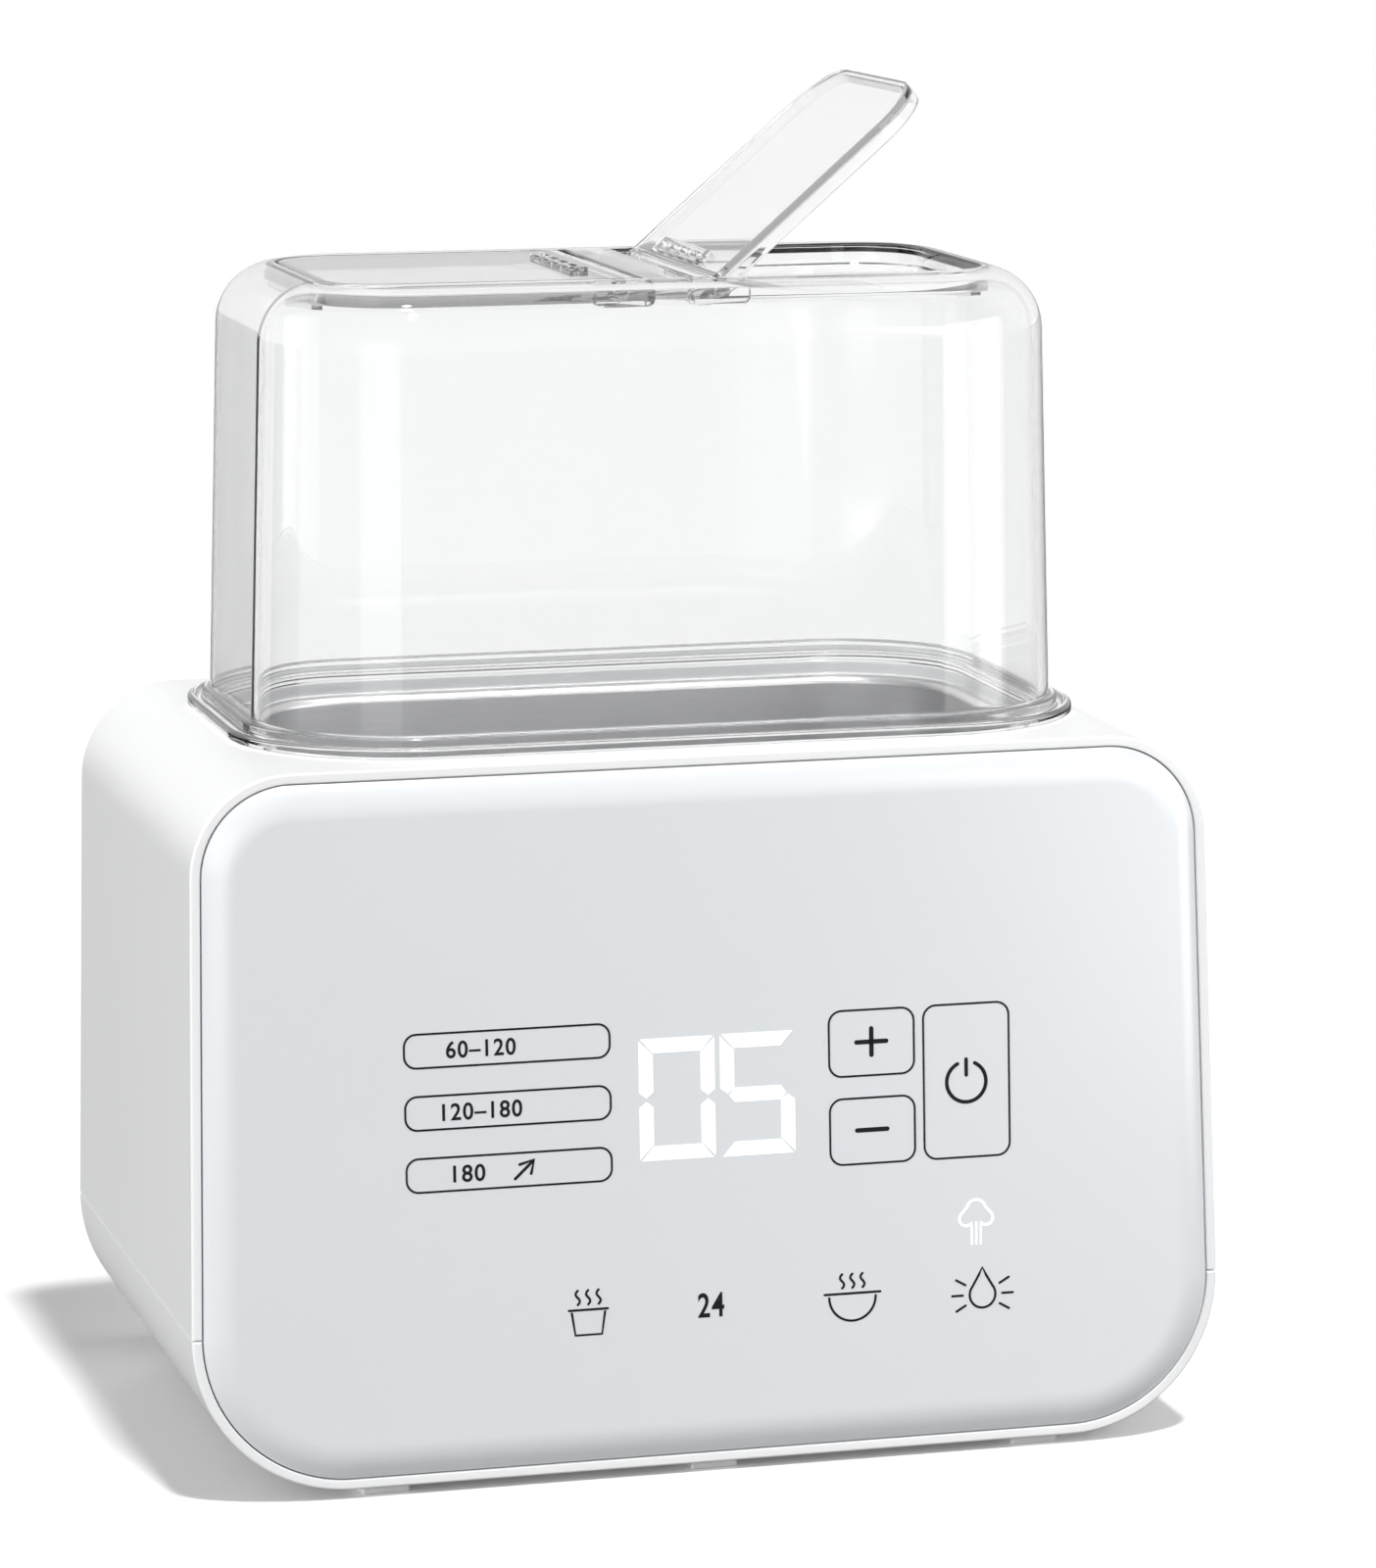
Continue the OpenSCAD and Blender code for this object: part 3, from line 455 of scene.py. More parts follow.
def board_green(name, colour):
    """Circuit board with faint copper tracks."""
    material, tree, skin = new_material(name, {"Roughness": 0.35})
    place = add_node(tree, "ShaderNodeTexCoord")
    tracks = add_node(tree, "ShaderNodeTexBrick", {"Scale": 160.0})
    for socket, gains in (("Color1", (1.0, 1.0, 1.0)), ("Color2", (0.8, 0.8, 0.8)), ("Mortar", (1.6, 1.4, 1.2))):
        tracks.inputs[socket].default_value = (*(c * g for c, g in zip(colour, gains)), 1.0)
    wire(tree, (place, "Object", tracks, "Vector"), (tracks, "Color", skin, "Base Color"))
    return material


def lit_print():
    """White segments lit from behind the panel."""
    material, tree, skin = new_material("print_lit", {"Emission Strength": 0.16})
    grain = add_grain(tree, skin, MOULDED, 0.01, {"Tone": (0.92, 0.92, 0.92, 1.0), "Dull": 0.3, "Grain": 1500.0})
    wire(tree, (grain, "Tone", skin, "Emission Color"))
    return material


WHITE_CASING = plastic("white_casing", (0.85, 0.855, 0.86), 0.36, 1400.0, 0.04)
PANEL_GLOSS = plastic("panel_gloss", (0.745, 0.768, 0.79), 0.3, 300.0, 0.004, 1.0)
FOOT_PAD = plastic("foot_pad", (0.74, 0.745, 0.75), 0.6, 2200.0, 0.12)
CLEAR = clear_plastic()
TANK_STEEL = metal("tank_steel", (0.74, 0.74, 0.745), 0.36, (60.0, 60.0, 2600.0), 0.05)
PRINT_DARK = plastic("print_dark", (0.012, 0.0125, 0.014), 0.4, 2000.0, 0.02, 0.0, 0.15)
TRAY_WHITE = plastic("tray_white", (0.78, 0.79, 0.8), 0.4, 1200.0, 0.04)
GLAND_RUBBER = plastic("gland_rubber", (0.022, 0.023, 0.025), 0.62, 1800.0, 0.15)
SCREW_STEEL = metal("screw_steel", (0.55, 0.55, 0.56), 0.32, (900.0, 900.0, 900.0))
INNER_WHITE = plastic("inner_white", (0.7, 0.71, 0.71), 0.45, 1100.0, 0.05)
BLACK_PLASTIC = plastic("black_plastic", (0.02, 0.021, 0.024), 0.4, 1500.0, 0.06)
SPRING_BRASS = metal("spring_brass", (0.62, 0.46, 0.22), 0.28, (200.0, 3000.0, 200.0))
GASKET_GREY = plastic("gasket_grey", (0.55, 0.56, 0.57), 0.55, 1600.0, 0.08)
CAST_METAL = metal("cast_metal", (0.56, 0.57, 0.58), 0.45, (700.0, 700.0, 700.0), 0.2)
ELEMENT_STEEL = metal("element_steel", (0.34, 0.31, 0.29), 0.4, (900.0, 900.0, 900.0), 0.12)
CERAMIC = plastic("ceramic", (0.66, 0.62, 0.53), 0.5, 1800.0, 0.1)
CORE_IRON = metal("core_iron", (0.16, 0.14, 0.13), 0.5, (80.0, 80.0, 4000.0), 0.2)
BLOCK_GREEN = plastic("block_green", (0.05, 0.2, 0.09), 0.42, 1200.0, 0.05)
LEAD_RED = plastic("lead_red", (0.45, 0.045, 0.035), 0.5, 1600.0, 0.08)
RIBBON_GREY = plastic("ribbon_grey", (0.48, 0.46, 0.42), 0.5, 1600.0, 0.1)
BOARD = board_green("board_green", (0.03, 0.15, 0.07))
PRINT_LIT = lit_print()


# Casing

def side_x(z):
    return BODY_W / 2 - (z - Z_LOW) * math.tan(SIDE_DRAFT)


def corner_x(z, r):
    return side_x(z) - r / math.cos(SIDE_DRAFT)


def corner_arc(upper, inset, first, count=22):
    """Right-hand corner of the front view, moved inward, from a first angle to its flat."""
    if upper:
        z, r, last = Z_TOP - TOP_R, TOP_R, math.pi / 2
    else:
        z, r, last = Z_LOW + BOTTOM_R, BOTTOM_R, -math.pi / 2
    return [(corner_x(z, r) + (r - inset) * math.cos(a), z + (r - inset) * math.sin(a))
            for a in spread(first, last, count)]


def half_path(inset, z, upper):
    """Right-hand front view of a casing half, from a level beside the seam to the middle's flat."""
    if upper:
        return [(side_x(z) - inset / math.cos(SIDE_DRAFT), z)] + corner_arc(True, inset, SIDE_DRAFT)
    return corner_arc(False, inset, math.asin((z - Z_LOW - BOTTOM_R) / (BOTTOM_R - inset)), 32)


def whole_path(inset):
    """Closed front view of the body, moved inward."""
    low = corner_arc(False, inset, SIDE_DRAFT, 32)
    right = list(reversed(low)) + corner_arc(True, inset, SIDE_DRAFT)
    return right + [(-x, z) for x, z in reversed(right)]


def from_front(path, depth):
    """Stands a front view on the leaning front plane, at a depth behind it."""
    lean = math.tan(FRONT_LEAN)
    return [(x, Y_FRONT + (z - Z_LOW) * lean + depth / math.cos(FRONT_LEAN), z) for x, z in path]


def at_rear(path, depth):
    return [(x, Y_REAR - depth, z) for x, z in path]


def plan_loop(rho, z, count=24):
    """Plan of the hood's wall with corners of radius rho."""
    loop = []
    for sx, sy, first in ((1, 1, 0), (-1, 1, 90), (-1, -1, 180), (1, -1, 270)):
        centre = (sx * CORE_X, HOOD_Y + sy * CORE_Y)
        loop += [(x, y, z) for x, y in arc_points(centre, rho, first, first + 90, count)]
    return loop


def half_ring(inset, depth, upper, stand):
    """Ring of a casing half from its right end at the seam to its left one, eased in at the seam."""
    ease = 0.15 if upper else 0.45
    way = 1 if upper else -1
    z = Z_SEAM + way * SEAM_GAP / 2
    end = stand(half_path(max(inset, ease), z, upper)[:1], max(depth, ease))
    run = stand(half_path(inset, z + way * ease, upper), depth)
    right = end + run
    return right + [(-x, y, z) for x, y, z in reversed(right)]


def casing_half(name, upper):
    """One half of the sleeve with its rear wall, ring edge and, on top, the seat of the tank."""
    shell = Shell()
    rim_depth = 0.9
    front_round = 0.55
    rear_round = 2.4
    rings = [half_ring(WALL, REAR_T, upper, at_rear), half_ring(WALL, rim_depth, upper, from_front)]
    for inset, depth in [(0.0, 0.3), (0.04, 0.15), (0.15, 0.04), (0.3, 0.0)]:
        rings.append(half_ring(WALL - inset, depth, upper, from_front))
    for a in spread(0.0, math.pi / 2, 6):
        rings.append(half_ring(front_round * (1 - math.sin(a)), front_round * (1 - math.cos(a)), upper, from_front))
    outer = len(rings) - 1
    for a in spread(0.0, math.pi / 2, 8):
        rings.append(half_ring(rear_round * (1 - math.cos(a)), rear_round * (1 - math.sin(a)), upper, at_rear))
    rings = [shell.ring(ring) for ring in rings]
    top = len(rings[0]) // 2 - 1
    for k, (a, b) in enumerate(zip(rings, rings[1:])):
        shell.bridge(a, b, False, (top,) if upper and k in (0, outer) else ())
    for ring in (rings[0], rings[-1]):
        shell.fill(ring[1:-1])
        shell.faces.append((ring[0], ring[1], ring[-2], ring[-1]))
    shell.fill([r[0] for r in rings] + [r[-1] for r in reversed(rings)])
    if upper:
        seat = [(RHO_SEAT + grow, Z_TOP - drop) for grow, drop in ((0.5, 0.0), (0.19, 0.07), (0.04, 0.25), (0.0, 0.5))]
        seat += [(RHO_SEAT, Z_SEAT), (RHO_HOLE, Z_SEAT), (RHO_HOLE, Z_SEAT - SEAT_T),
                 (RHO_SEAT + SEAT_RIM, Z_SEAT - SEAT_T), (RHO_SEAT + SEAT_RIM, Z_TOP - WALL)]
        loops = [shell.ring(plan_loop(rho, z)) for rho, z in seat]
        for a, b in zip(loops, loops[1:]):
            shell.bridge(a, b)
        for k, loop in ((outer, loops[0]), (0, loops[-1])):
            a, b = rings[k], rings[k + 1]
            shell.fill([a[top], a[top + 1], b[top + 1], b[top]], loop)
    return shell.build(name)


def rod(centre, axis, radius, first, last, count=40):
    """Round solid along Y or Z between two places."""
    shell = Shell()
    around = arc_points(centre, radius, 0, 360 - 360 / count, count)
    shell.stack([[(u, v, p) if axis == "Z" else (u, p, v) for u, v in around] for p in (first, last)])
    return shell.build("rod")


def block(low, high):
    """Solid box between two corners."""
    shell = Shell()
    shell.stack([[(low[0], low[1], z), (high[0], low[1], z), (high[0], high[1], z), (low[0], high[1], z)]
                 for z in (low[2], high[2])])
    return shell.build("block")


def slot_cut(x, y, width, length, z_a, z_b):
    """Upright cut with round ends, long along Y."""
    shell = Shell()
    r = width / 2
    loop = arc_points((x, y + length / 2 - r), r, 0, 180, 9) + arc_points((x, y - length / 2 + r), r, 180, 360, 9)
    shell.stack([[(u, v, z) for u, v in loop] for z in (z_a, z_b)])
    return shell.build("slot")


def screw_boss(place):
    """Post round a casing screw, trimmed to the inside of the sleeve."""
    inset = 1.1
    core = Shell()
    core.stack([from_front(whole_path(inset), 5.0), at_rear(whole_path(inset), 1.0)])
    post = rod(place, "Z", BOSS_R, Z_LOW, Z_SEAM - SEAM_GAP / 2 - RUN_GAP)
    return combine(post, "INTERSECT", core.build("core"))


def seam_tongue(side):
    """Strip inside one side wall that bridges the seam."""
    strip = Shell()
    front = Y_FRONT + TONGUE_FRONT
    rear = Y_REAR - REAR_T - TONGUE_REAR
    loops = []
    for z in (Z_SEAM - TONGUE_H, Z_SEAM + TONGUE_H):
        x_a, x_b = side_x(z) - WALL - RUN_GAP, side_x(z) - WALL - TONGUE_T
        loops.append([(side * x_a, front, z), (side * x_b, front, z), (side * x_b, rear, z), (side * x_a, rear, z)])
    strip.stack(loops)
    return strip.build("tongue")


upper_casing = casing_half("casing_upper", True)
dress(shade(upper_casing), WHITE_CASING, "base", "casing", "upper_casing")

lower_casing = casing_half("casing_lower", False)
combine(lower_casing, "UNION", *[screw_boss(place) for place in SCREWS])
combine(lower_casing, "DIFFERENCE", *[rod(place, "Z", SCREW_HOLE_R, -CUT_PAST, SCREW_SEAT) for place in SCREWS],
        *[slot_cut(VENT_X + VENT_PITCH * i, HOOD_Y, VENT_W, VENT_L, 0.0, VENT_CUT_TOP) for i in range(VENT_COUNT)],
        rod(GLAND, "Y", GLAND_RIM_R, Y_REAR - GLAND_RIM_T, Y_REAR + CUT_PAST, 48),
        rod(GLAND, "Y", GLAND_NECK_R, Y_REAR - GLAND_NECK_L, Y_REAR + CUT_PAST, 48))
combine(lower_casing, "UNION", *[seam_tongue(side) for side in SIDES])
dress(shade(lower_casing), WHITE_CASING, "base", "casing", "bottom_cover")


# Front panel, rounded over towards its edge

def panel_piece():
    shell = Shell()
    edge = WALL + PANEL_GAP
    bend = (PANEL_ROUND ** 2 + PANEL_DROP ** 2) / (2 * PANEL_DROP)
    reach = math.asin(PANEL_ROUND / bend)
    back = PANEL_T - PANEL_DROP + PANEL_SINK
    ease = 0.15
    loops = [from_front(whole_path(edge + ease), back), from_front(whole_path(edge), back - ease),
             from_front(whole_path(edge), PANEL_SINK + 0.12)]
    for a in spread(reach, 0.0, 18):
        loops.append(from_front(whole_path(edge + PANEL_ROUND - bend * math.sin(a)),
                                bend * (1 - math.cos(a)) - PANEL_PROUD))
    shell.stack(loops)
    return shell.build("touch_panel")


dress(shade(panel_piece()), PANEL_GLOSS, "base", "panel", "front_panel")


# Tank

def tank_piece():
    """Drawn bowl with a rolled lip."""
    shell = Shell()
    inner = RHO_TANK - TANK_T
    turn = TANK_FLOOR_R - TANK_T
    low_lip = Z_LIP - TANK_T
    profile = [(RHO_LIP - LIP_EDGE, low_lip), (RHO_LIP, low_lip + LIP_EDGE), (RHO_LIP, Z_LIP - LIP_EDGE),
               (RHO_LIP - LIP_EDGE, Z_LIP)]
    profile += arc_points((inner + LIP_ROLL, Z_LIP - LIP_ROLL), LIP_ROLL, 90, 180, 8)
    profile += arc_points((inner - turn, Z_TANK + turn), turn, 0, -90, 10)
    rings = [shell.ring(plan_loop(rho, z)) for rho, z in profile]
    under = arc_points((RHO_TANK - TANK_FLOOR_R, Z_TANK - TANK_T + TANK_FLOOR_R), TANK_FLOOR_R, -90, 0, 10)
    under.append((RHO_TANK, low_lip))
    low = [shell.ring(plan_loop(rho, z)) for rho, z in under]
    for a, b in list(zip(rings, rings[1:])) + list(zip(low, low[1:])):
        shell.bridge(a, b)
    shell.bridge(low[-1], rings[0])
    shell.fill(rings[-1])
    shell.fill(low[0])
    return shell.build("tank_bowl")


tank_bowl = tank_piece()
combine(tank_bowl, "UNION", *[rod((x, HOOD_Y), "Z", STUD_R, Z_TANK - TANK_T - STUD_L, Z_TANK - TANK_T / 2)
                              for x in (-STUD_X, STUD_X)])
dress(shade(tank_bowl), TANK_STEEL, "base", "tank_steel", "tank")


# Clear hood

def wall_rho(z, rho):
    return rho - (z - Z_FLANGE) * math.tan(HOOD_DRAFT)


def hood_shell():
    """Drafted wall with a rounded roof edge, a stepped flange with a bead and a locating skirt."""
    shell = Shell()
    tilt = math.degrees(HOOD_DRAFT)
    c_z = Z_ROOF - ROOF_R
    c_rho = wall_rho(c_z, HOOD_R) - ROOF_R / math.cos(HOOD_DRAFT)
    base = Z_FLANGE
    groove = base + GROOVE_H
    ledge = base + STEP_H
    outer = HOOD_R + FLANGE_W
    inner = HOOD_R - HOOD_WALL
    step = HOOD_R + STEP_W
    profile = arc_points((c_rho, c_z), ROOF_R, 90, tilt, 18)
    profile += [(wall_rho(ledge + 1.0, HOOD_R), ledge + 1.0), (wall_rho(ledge + 0.4, HOOD_R) + 0.06, ledge + 0.4),
                (HOOD_R + 0.18, ledge + 0.12), (HOOD_R + 0.5, ledge)]
    profile += arc_points((step - STEP_EDGE, ledge - STEP_EDGE), STEP_EDGE, 90, 0, 6)
    profile += [(step, groove + 0.4), (step + 0.1, groove + 0.12), (step + 0.35, groove),
                (outer - 2.3, groove), (outer - 2.02, groove + 0.08)]
    profile += arc_points((outer - BEAD_R, base + BEAD_H - BEAD_R), BEAD_R, 160, 0, 12)
    profile += [(outer, base + 0.5)]
    profile += arc_points((outer - FLANGE_EDGE, base + FLANGE_EDGE), FLANGE_EDGE, 0, -90, 4)
    low = base - SKIRT_H + SKIRT_EDGE
    skirt_in = inner - SKIRT_T + SKIRT_EDGE
    profile += [(inner + 0.3, base), (inner, base - 0.3), (inner, low)]
    profile += arc_points((inner - SKIRT_EDGE, low), SKIRT_EDGE, 0, -90, 4)
    profile += arc_points((skirt_in, low), SKIRT_EDGE, -90, -180, 4)
    profile += [(inner - SKIRT_T, groove - SKIRT_EDGE)]
    profile += arc_points((skirt_in, groove - SKIRT_EDGE), SKIRT_EDGE, 180, 90, 4)
    profile += [(inner - 0.4, groove), (wall_rho(groove + 0.12, inner) - 0.1, groove + 0.12),
                (wall_rho(groove + 0.45, inner), groove + 0.45)]
    profile += arc_points((c_rho, c_z), ROOF_R - HOOD_WALL, tilt, 90, 16)
    rings = [shell.ring(plan_loop(rho, z)) for rho, z in profile]
    for a, b in zip(rings, rings[1:]):
        shell.bridge(a, b)
    shell.fill(rings[0])
    shell.fill(rings[-1])
    return shell.build("hood_clear")


def tip_loop(grow, z, x_in, x_tip, depth, r, side, count=14):
    """Plan of a flap or mouth from its inner edge to its rounded tip; side -1 is the left one."""
    d = depth / 2 + grow
    r += grow
    x_in -= grow
    x_tip += grow
    loop = [(x_in, HOOD_Y - d)] + arc_points((x_tip - r, HOOD_Y - d + r), r, -90, 0, count)
    loop += arc_points((x_tip - r, HOOD_Y + d - r), r, 0, 90, count) + [(x_in, HOOD_Y + d)]
    return [(side * x, y, z) for x, y in loop]


def mouth_loop(grow, z, side):
    return tip_loop(grow, z, MOUTH_X, MOUTH_TIP, MOUTH_D, FLAP_R + MOUTH_GAP, side)


def collar_solid(side):
    """Wall that hangs from the roof round a mouth, before the mouth is cut."""
    shell = Shell()
    low = Z_ROOF - COLLAR_H
    r = 0.6
    loops = [mouth_loop(COLLAR_T, Z_ROOF - HOOD_WALL / 2, side)]
    loops += [mouth_loop(COLLAR_T - r + g, low + r + z, side) for g, z in arc_points((0, 0), r, 0, -90, 5)]
    shell.stack(loops)
    return shell.build("collar")


def mouth_cut(side):
    """Opening through roof and collar, eased at both ends."""
    shell = Shell()
    low = Z_ROOF - COLLAR_H
    low_r = 0.4
    top_r = 0.5
    loops = [mouth_loop(top_r, low - 5.0, side)]
    loops += [mouth_loop(low_r - g, low + z, side) for g, z in arc_points((0, 0), low_r, 0, 90, 4)]
    loops += [mouth_loop(top_r - g, Z_ROOF - top_r + z, side) for g, z in
              [(0.5, 0.0), (0.46, 0.19), (0.35, 0.35), (0.19, 0.46), (0.0, 0.5)]]
    loops.append(mouth_loop(top_r, Z_ROOF + 3.0, side))
    shell.stack(loops)
    return shell.build("mouth")


def lug_solid(side, end):
    """Hinge lug under the roof beside a mouth, round at its lower corners."""
    shell = Shell()
    x_a, x_b = MOUTH_X - COLLAR_T + 0.25, MOUTH_X + 2 * HINGE_OUT
    z_a, z_b = Z_ROOF - LUG_H, Z_ROOF - HOOD_WALL / 2
    outline = [(x_b, z_b)] + arc_points((x_b - LUG_R, z_a + LUG_R), LUG_R, 0, -90, 7)
    outline += arc_points((x_a + LUG_R, z_a + LUG_R), LUG_R, -90, -180, 7) + [(x_a, z_b)]
    y_a, y_b = MOUTH_D / 2 - 1.5, MOUTH_D / 2 + LUG_REACH
    shell.stack([[(side * x, HOOD_Y + end * y, z) for x, z in outline] for y in (y_a, y_b)])
    return shell.build("lug")


def ledge_solid(side):
    """Stop under a flap's tip."""
    low = Z_ROOF - FLAP_EDGE_H - LIFT_GAP - RUN_GAP - LEDGE_H
    half = FLAP_D / 2 - FLAP_R
    x_a, x_b = sorted((side * (MOUTH_TIP - LEDGE_W), side * (MOUTH_TIP + COLLAR_T / 2)))
    return block((x_a, HOOD_Y - half, low), (x_b, HOOD_Y + half, low + LEDGE_H))


def pin_bore(side):
    reach = MOUTH_D / 2 + PIN_L + BORE_END
    return rod((side * HINGE_X, HINGE_Z), "Y", PIN_R + RUN_GAP, HOOD_Y - reach, HOOD_Y + reach)


hood = hood_shell()
combine(hood, "UNION", *[collar_solid(s) for s in SIDES])
combine(hood, "UNION", *[lug_solid(s, end) for s in SIDES for end in SIDES])
combine(hood, "DIFFERENCE", *[mouth_cut(s) for s in SIDES])
combine(hood, "DIFFERENCE", *[pin_bore(s) for s in SIDES])
combine(hood, "UNION", *[ledge_solid(s) for s in SIDES])
dress(shade(hood), CLEAR, "hood", "clear_plastic", "hood")


# Flaps

def flap_plate(name, side):
    """Flat of a flap, round along its upper edge."""
    nose = FLAP_T / 2
    top = 0.45

    def edge(grow, z, x_in):
        return tip_loop(grow, z, x_in - max(grow, 0.0), FLAP_TIP, FLAP_D, FLAP_R, side)

    plate = Shell()
    loops = [edge(-0.3, Z_ROOF - FLAP_T, FLAP_X + nose)]
    loops += [edge(-top + g, Z_ROOF - top + z, FLAP_X + nose - g) for g, z in
              [(0.45, -0.9), (0.45, 0.0), (0.42, 0.17), (0.32, 0.32), (0.17, 0.42), (0.0, 0.45)]]
    plate.stack(loops)
    return plate.build(name)


def flap_skirt(side):
    """Down-turned edge of a flap."""
    skirt = Shell()
    low = Z_ROOF - FLAP_EDGE_H
    under = Z_ROOF - FLAP_T
    inner = -FLAP_EDGE_T
    section = [(-0.05, Z_ROOF - 0.9), (-0.05, low + 0.4), (-0.17, low + 0.12), (-0.45, low),
               (inner + 0.4, low), (inner + 0.12, low + 0.12), (inner, low + 0.4), (inner, under - 0.5),
               (inner - 0.15, under - 0.15), (inner - 0.5, under + 0.3), (inner - 0.5, Z_ROOF - 0.9)]
    skirt.band(section, lambda g, z: tip_loop(g, z, HINGE_X + g, FLAP_TIP, FLAP_D, FLAP_R, side))
    return skirt.build("skirt")


def vent_rib(side):
    """Raised steam vent on a flap, before its slots are cut."""
    rib = Shell()
    loops = []
    for grow, z in ((0.0, -0.4), (0.0, 0.6), (-0.12, 0.88), (-0.4, 1.0)):
        x_a, x_b = side * (HINGE_X + RIB_OUT - grow), side * (HINGE_X + RIB_OUT + RIB_W + grow)
        y_a, y_b = HOOD_Y - RIB_HALF - grow, HOOD_Y + RIB_HALF + grow
        loops.append([(x_a, y_a, Z_ROOF + z), (x_b, y_a, Z_ROOF + z), (x_b, y_b, Z_ROOF + z), (x_a, y_b, Z_ROOF + z)])
    rib.stack(loops)
    return rib.build("rib")


def flap_piece(name, side):
    """Flap in its closed place: plate with a down-turned edge, hinge barrel, pins and a slotted vent."""
    flap = flap_plate(name, side)
    hinge = (side * HINGE_X, HINGE_Z)
    barrel = FLAP_D / 2 - BARREL_GAP
    pins = FLAP_D / 2 + MOUTH_GAP + PIN_L
    combine(flap, "UNION", flap_skirt(side), rod(hinge, "Y", BARREL_R, HOOD_Y - barrel, HOOD_Y + barrel),
            rod(hinge, "Y", PIN_R, HOOD_Y - pins, HOOD_Y + pins, 32), vent_rib(side))
    first = HOOD_Y - RIB_HALF + RIB_SLOT_GAP + RIB_SLOT_L / 2
    cuts = [slot_cut(side * (HINGE_X + RIB_OUT + RIB_W / 2), first + (RIB_SLOT_L + RIB_SLOT_GAP) * i,
                     RIB_SLOT_W, RIB_SLOT_L, Z_ROOF - 5, Z_ROOF + 5) for i in range(RIB_SLOTS)]
    return combine(flap, "DIFFERENCE", *cuts)


left_flap = flap_piece("flap_left", -1)
dress(shade(left_flap), CLEAR, "left_flap", "clear_plastic", "left_flap")
right_flap = flap_piece("flap_right", 1)
pivot = Matrix.Translation(Vector((HINGE_X, 0, HINGE_Z)) * MM)
right_flap.data.transform(pivot @ Matrix.Rotation(-OPEN_ANGLE, 4, "Y") @ pivot.inverted())
dress(shade(right_flap), CLEAR, "right_flap", "clear_plastic", "right_flap")


# Prints on the front panel, as thin raised ink: places run across and up the panel's slope

INK = 0.05
KEY_LINE = 0.43
KEY_R = 2.7
AMOUNT_ROWS = (89.5, 76.78, 64.05)
AMOUNT_LEFT, AMOUNT_RIGHT = -64.85, -22.0
AMOUNT_HALF = 3.45
AMOUNT_R = 2.5
ADJUST_LEFT, ADJUST_RIGHT = 24.5, 42.75
PLUS_LOW, PLUS_HIGH = 79.05, 92.75
MINUS_LOW, MINUS_HIGH = 60.7, 74.4
POWER_LEFT, POWER_RIGHT = 44.8, 63.3
POWER_LOW, POWER_HIGH = 60.7, 92.8
PLUS_X, PLUS_S = 33.6, 86.05
MINUS_S = 67.7
ADJUST_LINE = 0.95
POWER_X = 54.0
POWER_LINE = 0.78
ARROW_LINE = 0.6
MODE_LINE = 0.5
CUP_X = -27.5
BOWL_X = 28.8
DROP_X, DROP_S = 57.0, 31.6
STEAM_X = 55.8
NUMBER_H = 3.55


def on_panel(x, s, out):
    """Place on the panel's flat: across, up the slope and out of it."""
    out += PANEL_PROUD
    return (x, Y_FRONT - out * math.cos(FRONT_LEAN) + s * math.sin(FRONT_LEAN),
            Z_LOW + out * math.sin(FRONT_LEAN) + s * math.cos(FRONT_LEAN))


class Ink(Shell):
    """Flat printed shapes on the front face."""

    def faces_of(self, loops):
        """Upper and lower rings of some outlines."""
        return [[self.ring([on_panel(x, s, out) for x, s in loop]) for loop in loops] for out in (INK, -INK)]

    def patch(self, outline):
        """Filled outline."""
        (top,), (low,) = self.faces_of([outline])
        self.fill(top)
        self.fill(low)
        self.bridge(top, low)

    def between(self, loops):
        """Band between two outlines of as many points."""
        tops, lows = self.faces_of(loops)
        self.bridge(*tops)
        self.bridge(*lows)
        for top, low in zip(tops, lows):
            self.bridge(top, low)

    def stroke(self, points, width):
        """Line of even width through points, with round ends."""
        left, right = [], []
        h = width / 2
        for i, (x, s) in enumerate(points):
            before = points[max(i - 1, 0)]
            after = points[min(i + 1, len(points) - 1)]
            dx, ds = after[0] - before[0], after[1] - before[1]
            size = math.hypot(dx, ds)
            left.append((x - ds / size * h, s + dx / size * h))
            right.append((x + ds / size * h, s - dx / size * h))
        caps = []
        for tip, beyond in ((points[-1], points[-2]), (points[0], points[1])):
            a = math.degrees(math.atan2(tip[1] - beyond[1], tip[0] - beyond[0]))
            caps.append(arc_points(tip, h, a + 90, a - 90, 7)[1:-1])
        self.patch(left + caps[0] + right[::-1] + caps[1])

    def frame(self, x_a, x_b, s_a, s_b, r, width):
        """Outline of a rounded rectangle."""
        corners = ((x_b - r, s_b - r, 0), (x_a + r, s_b - r, 90), (x_a + r, s_a + r, 180), (x_b - r, s_a + r, 270))
        self.between([[p for x, s, first in corners for p in arc_points((x, s), r + g, first, first + 90, 9)]
                      for g in (width / 2, -width / 2)])

    def loop_line(self, points, width):
        """Closed line of even width."""
        count = len(points)
        rings = []
        for g in (width / 2, -width / 2):
            ring = []
            for i, (x, s) in enumerate(points):
                dx = points[(i + 1) % count][0] - points[i - 1][0]
                ds = points[(i + 1) % count][1] - points[i - 1][1]
                size = math.hypot(dx, ds)
                ring.append((x + ds / size * g, s - dx / size * g))
            rings.append(ring)
        self.between(rings)


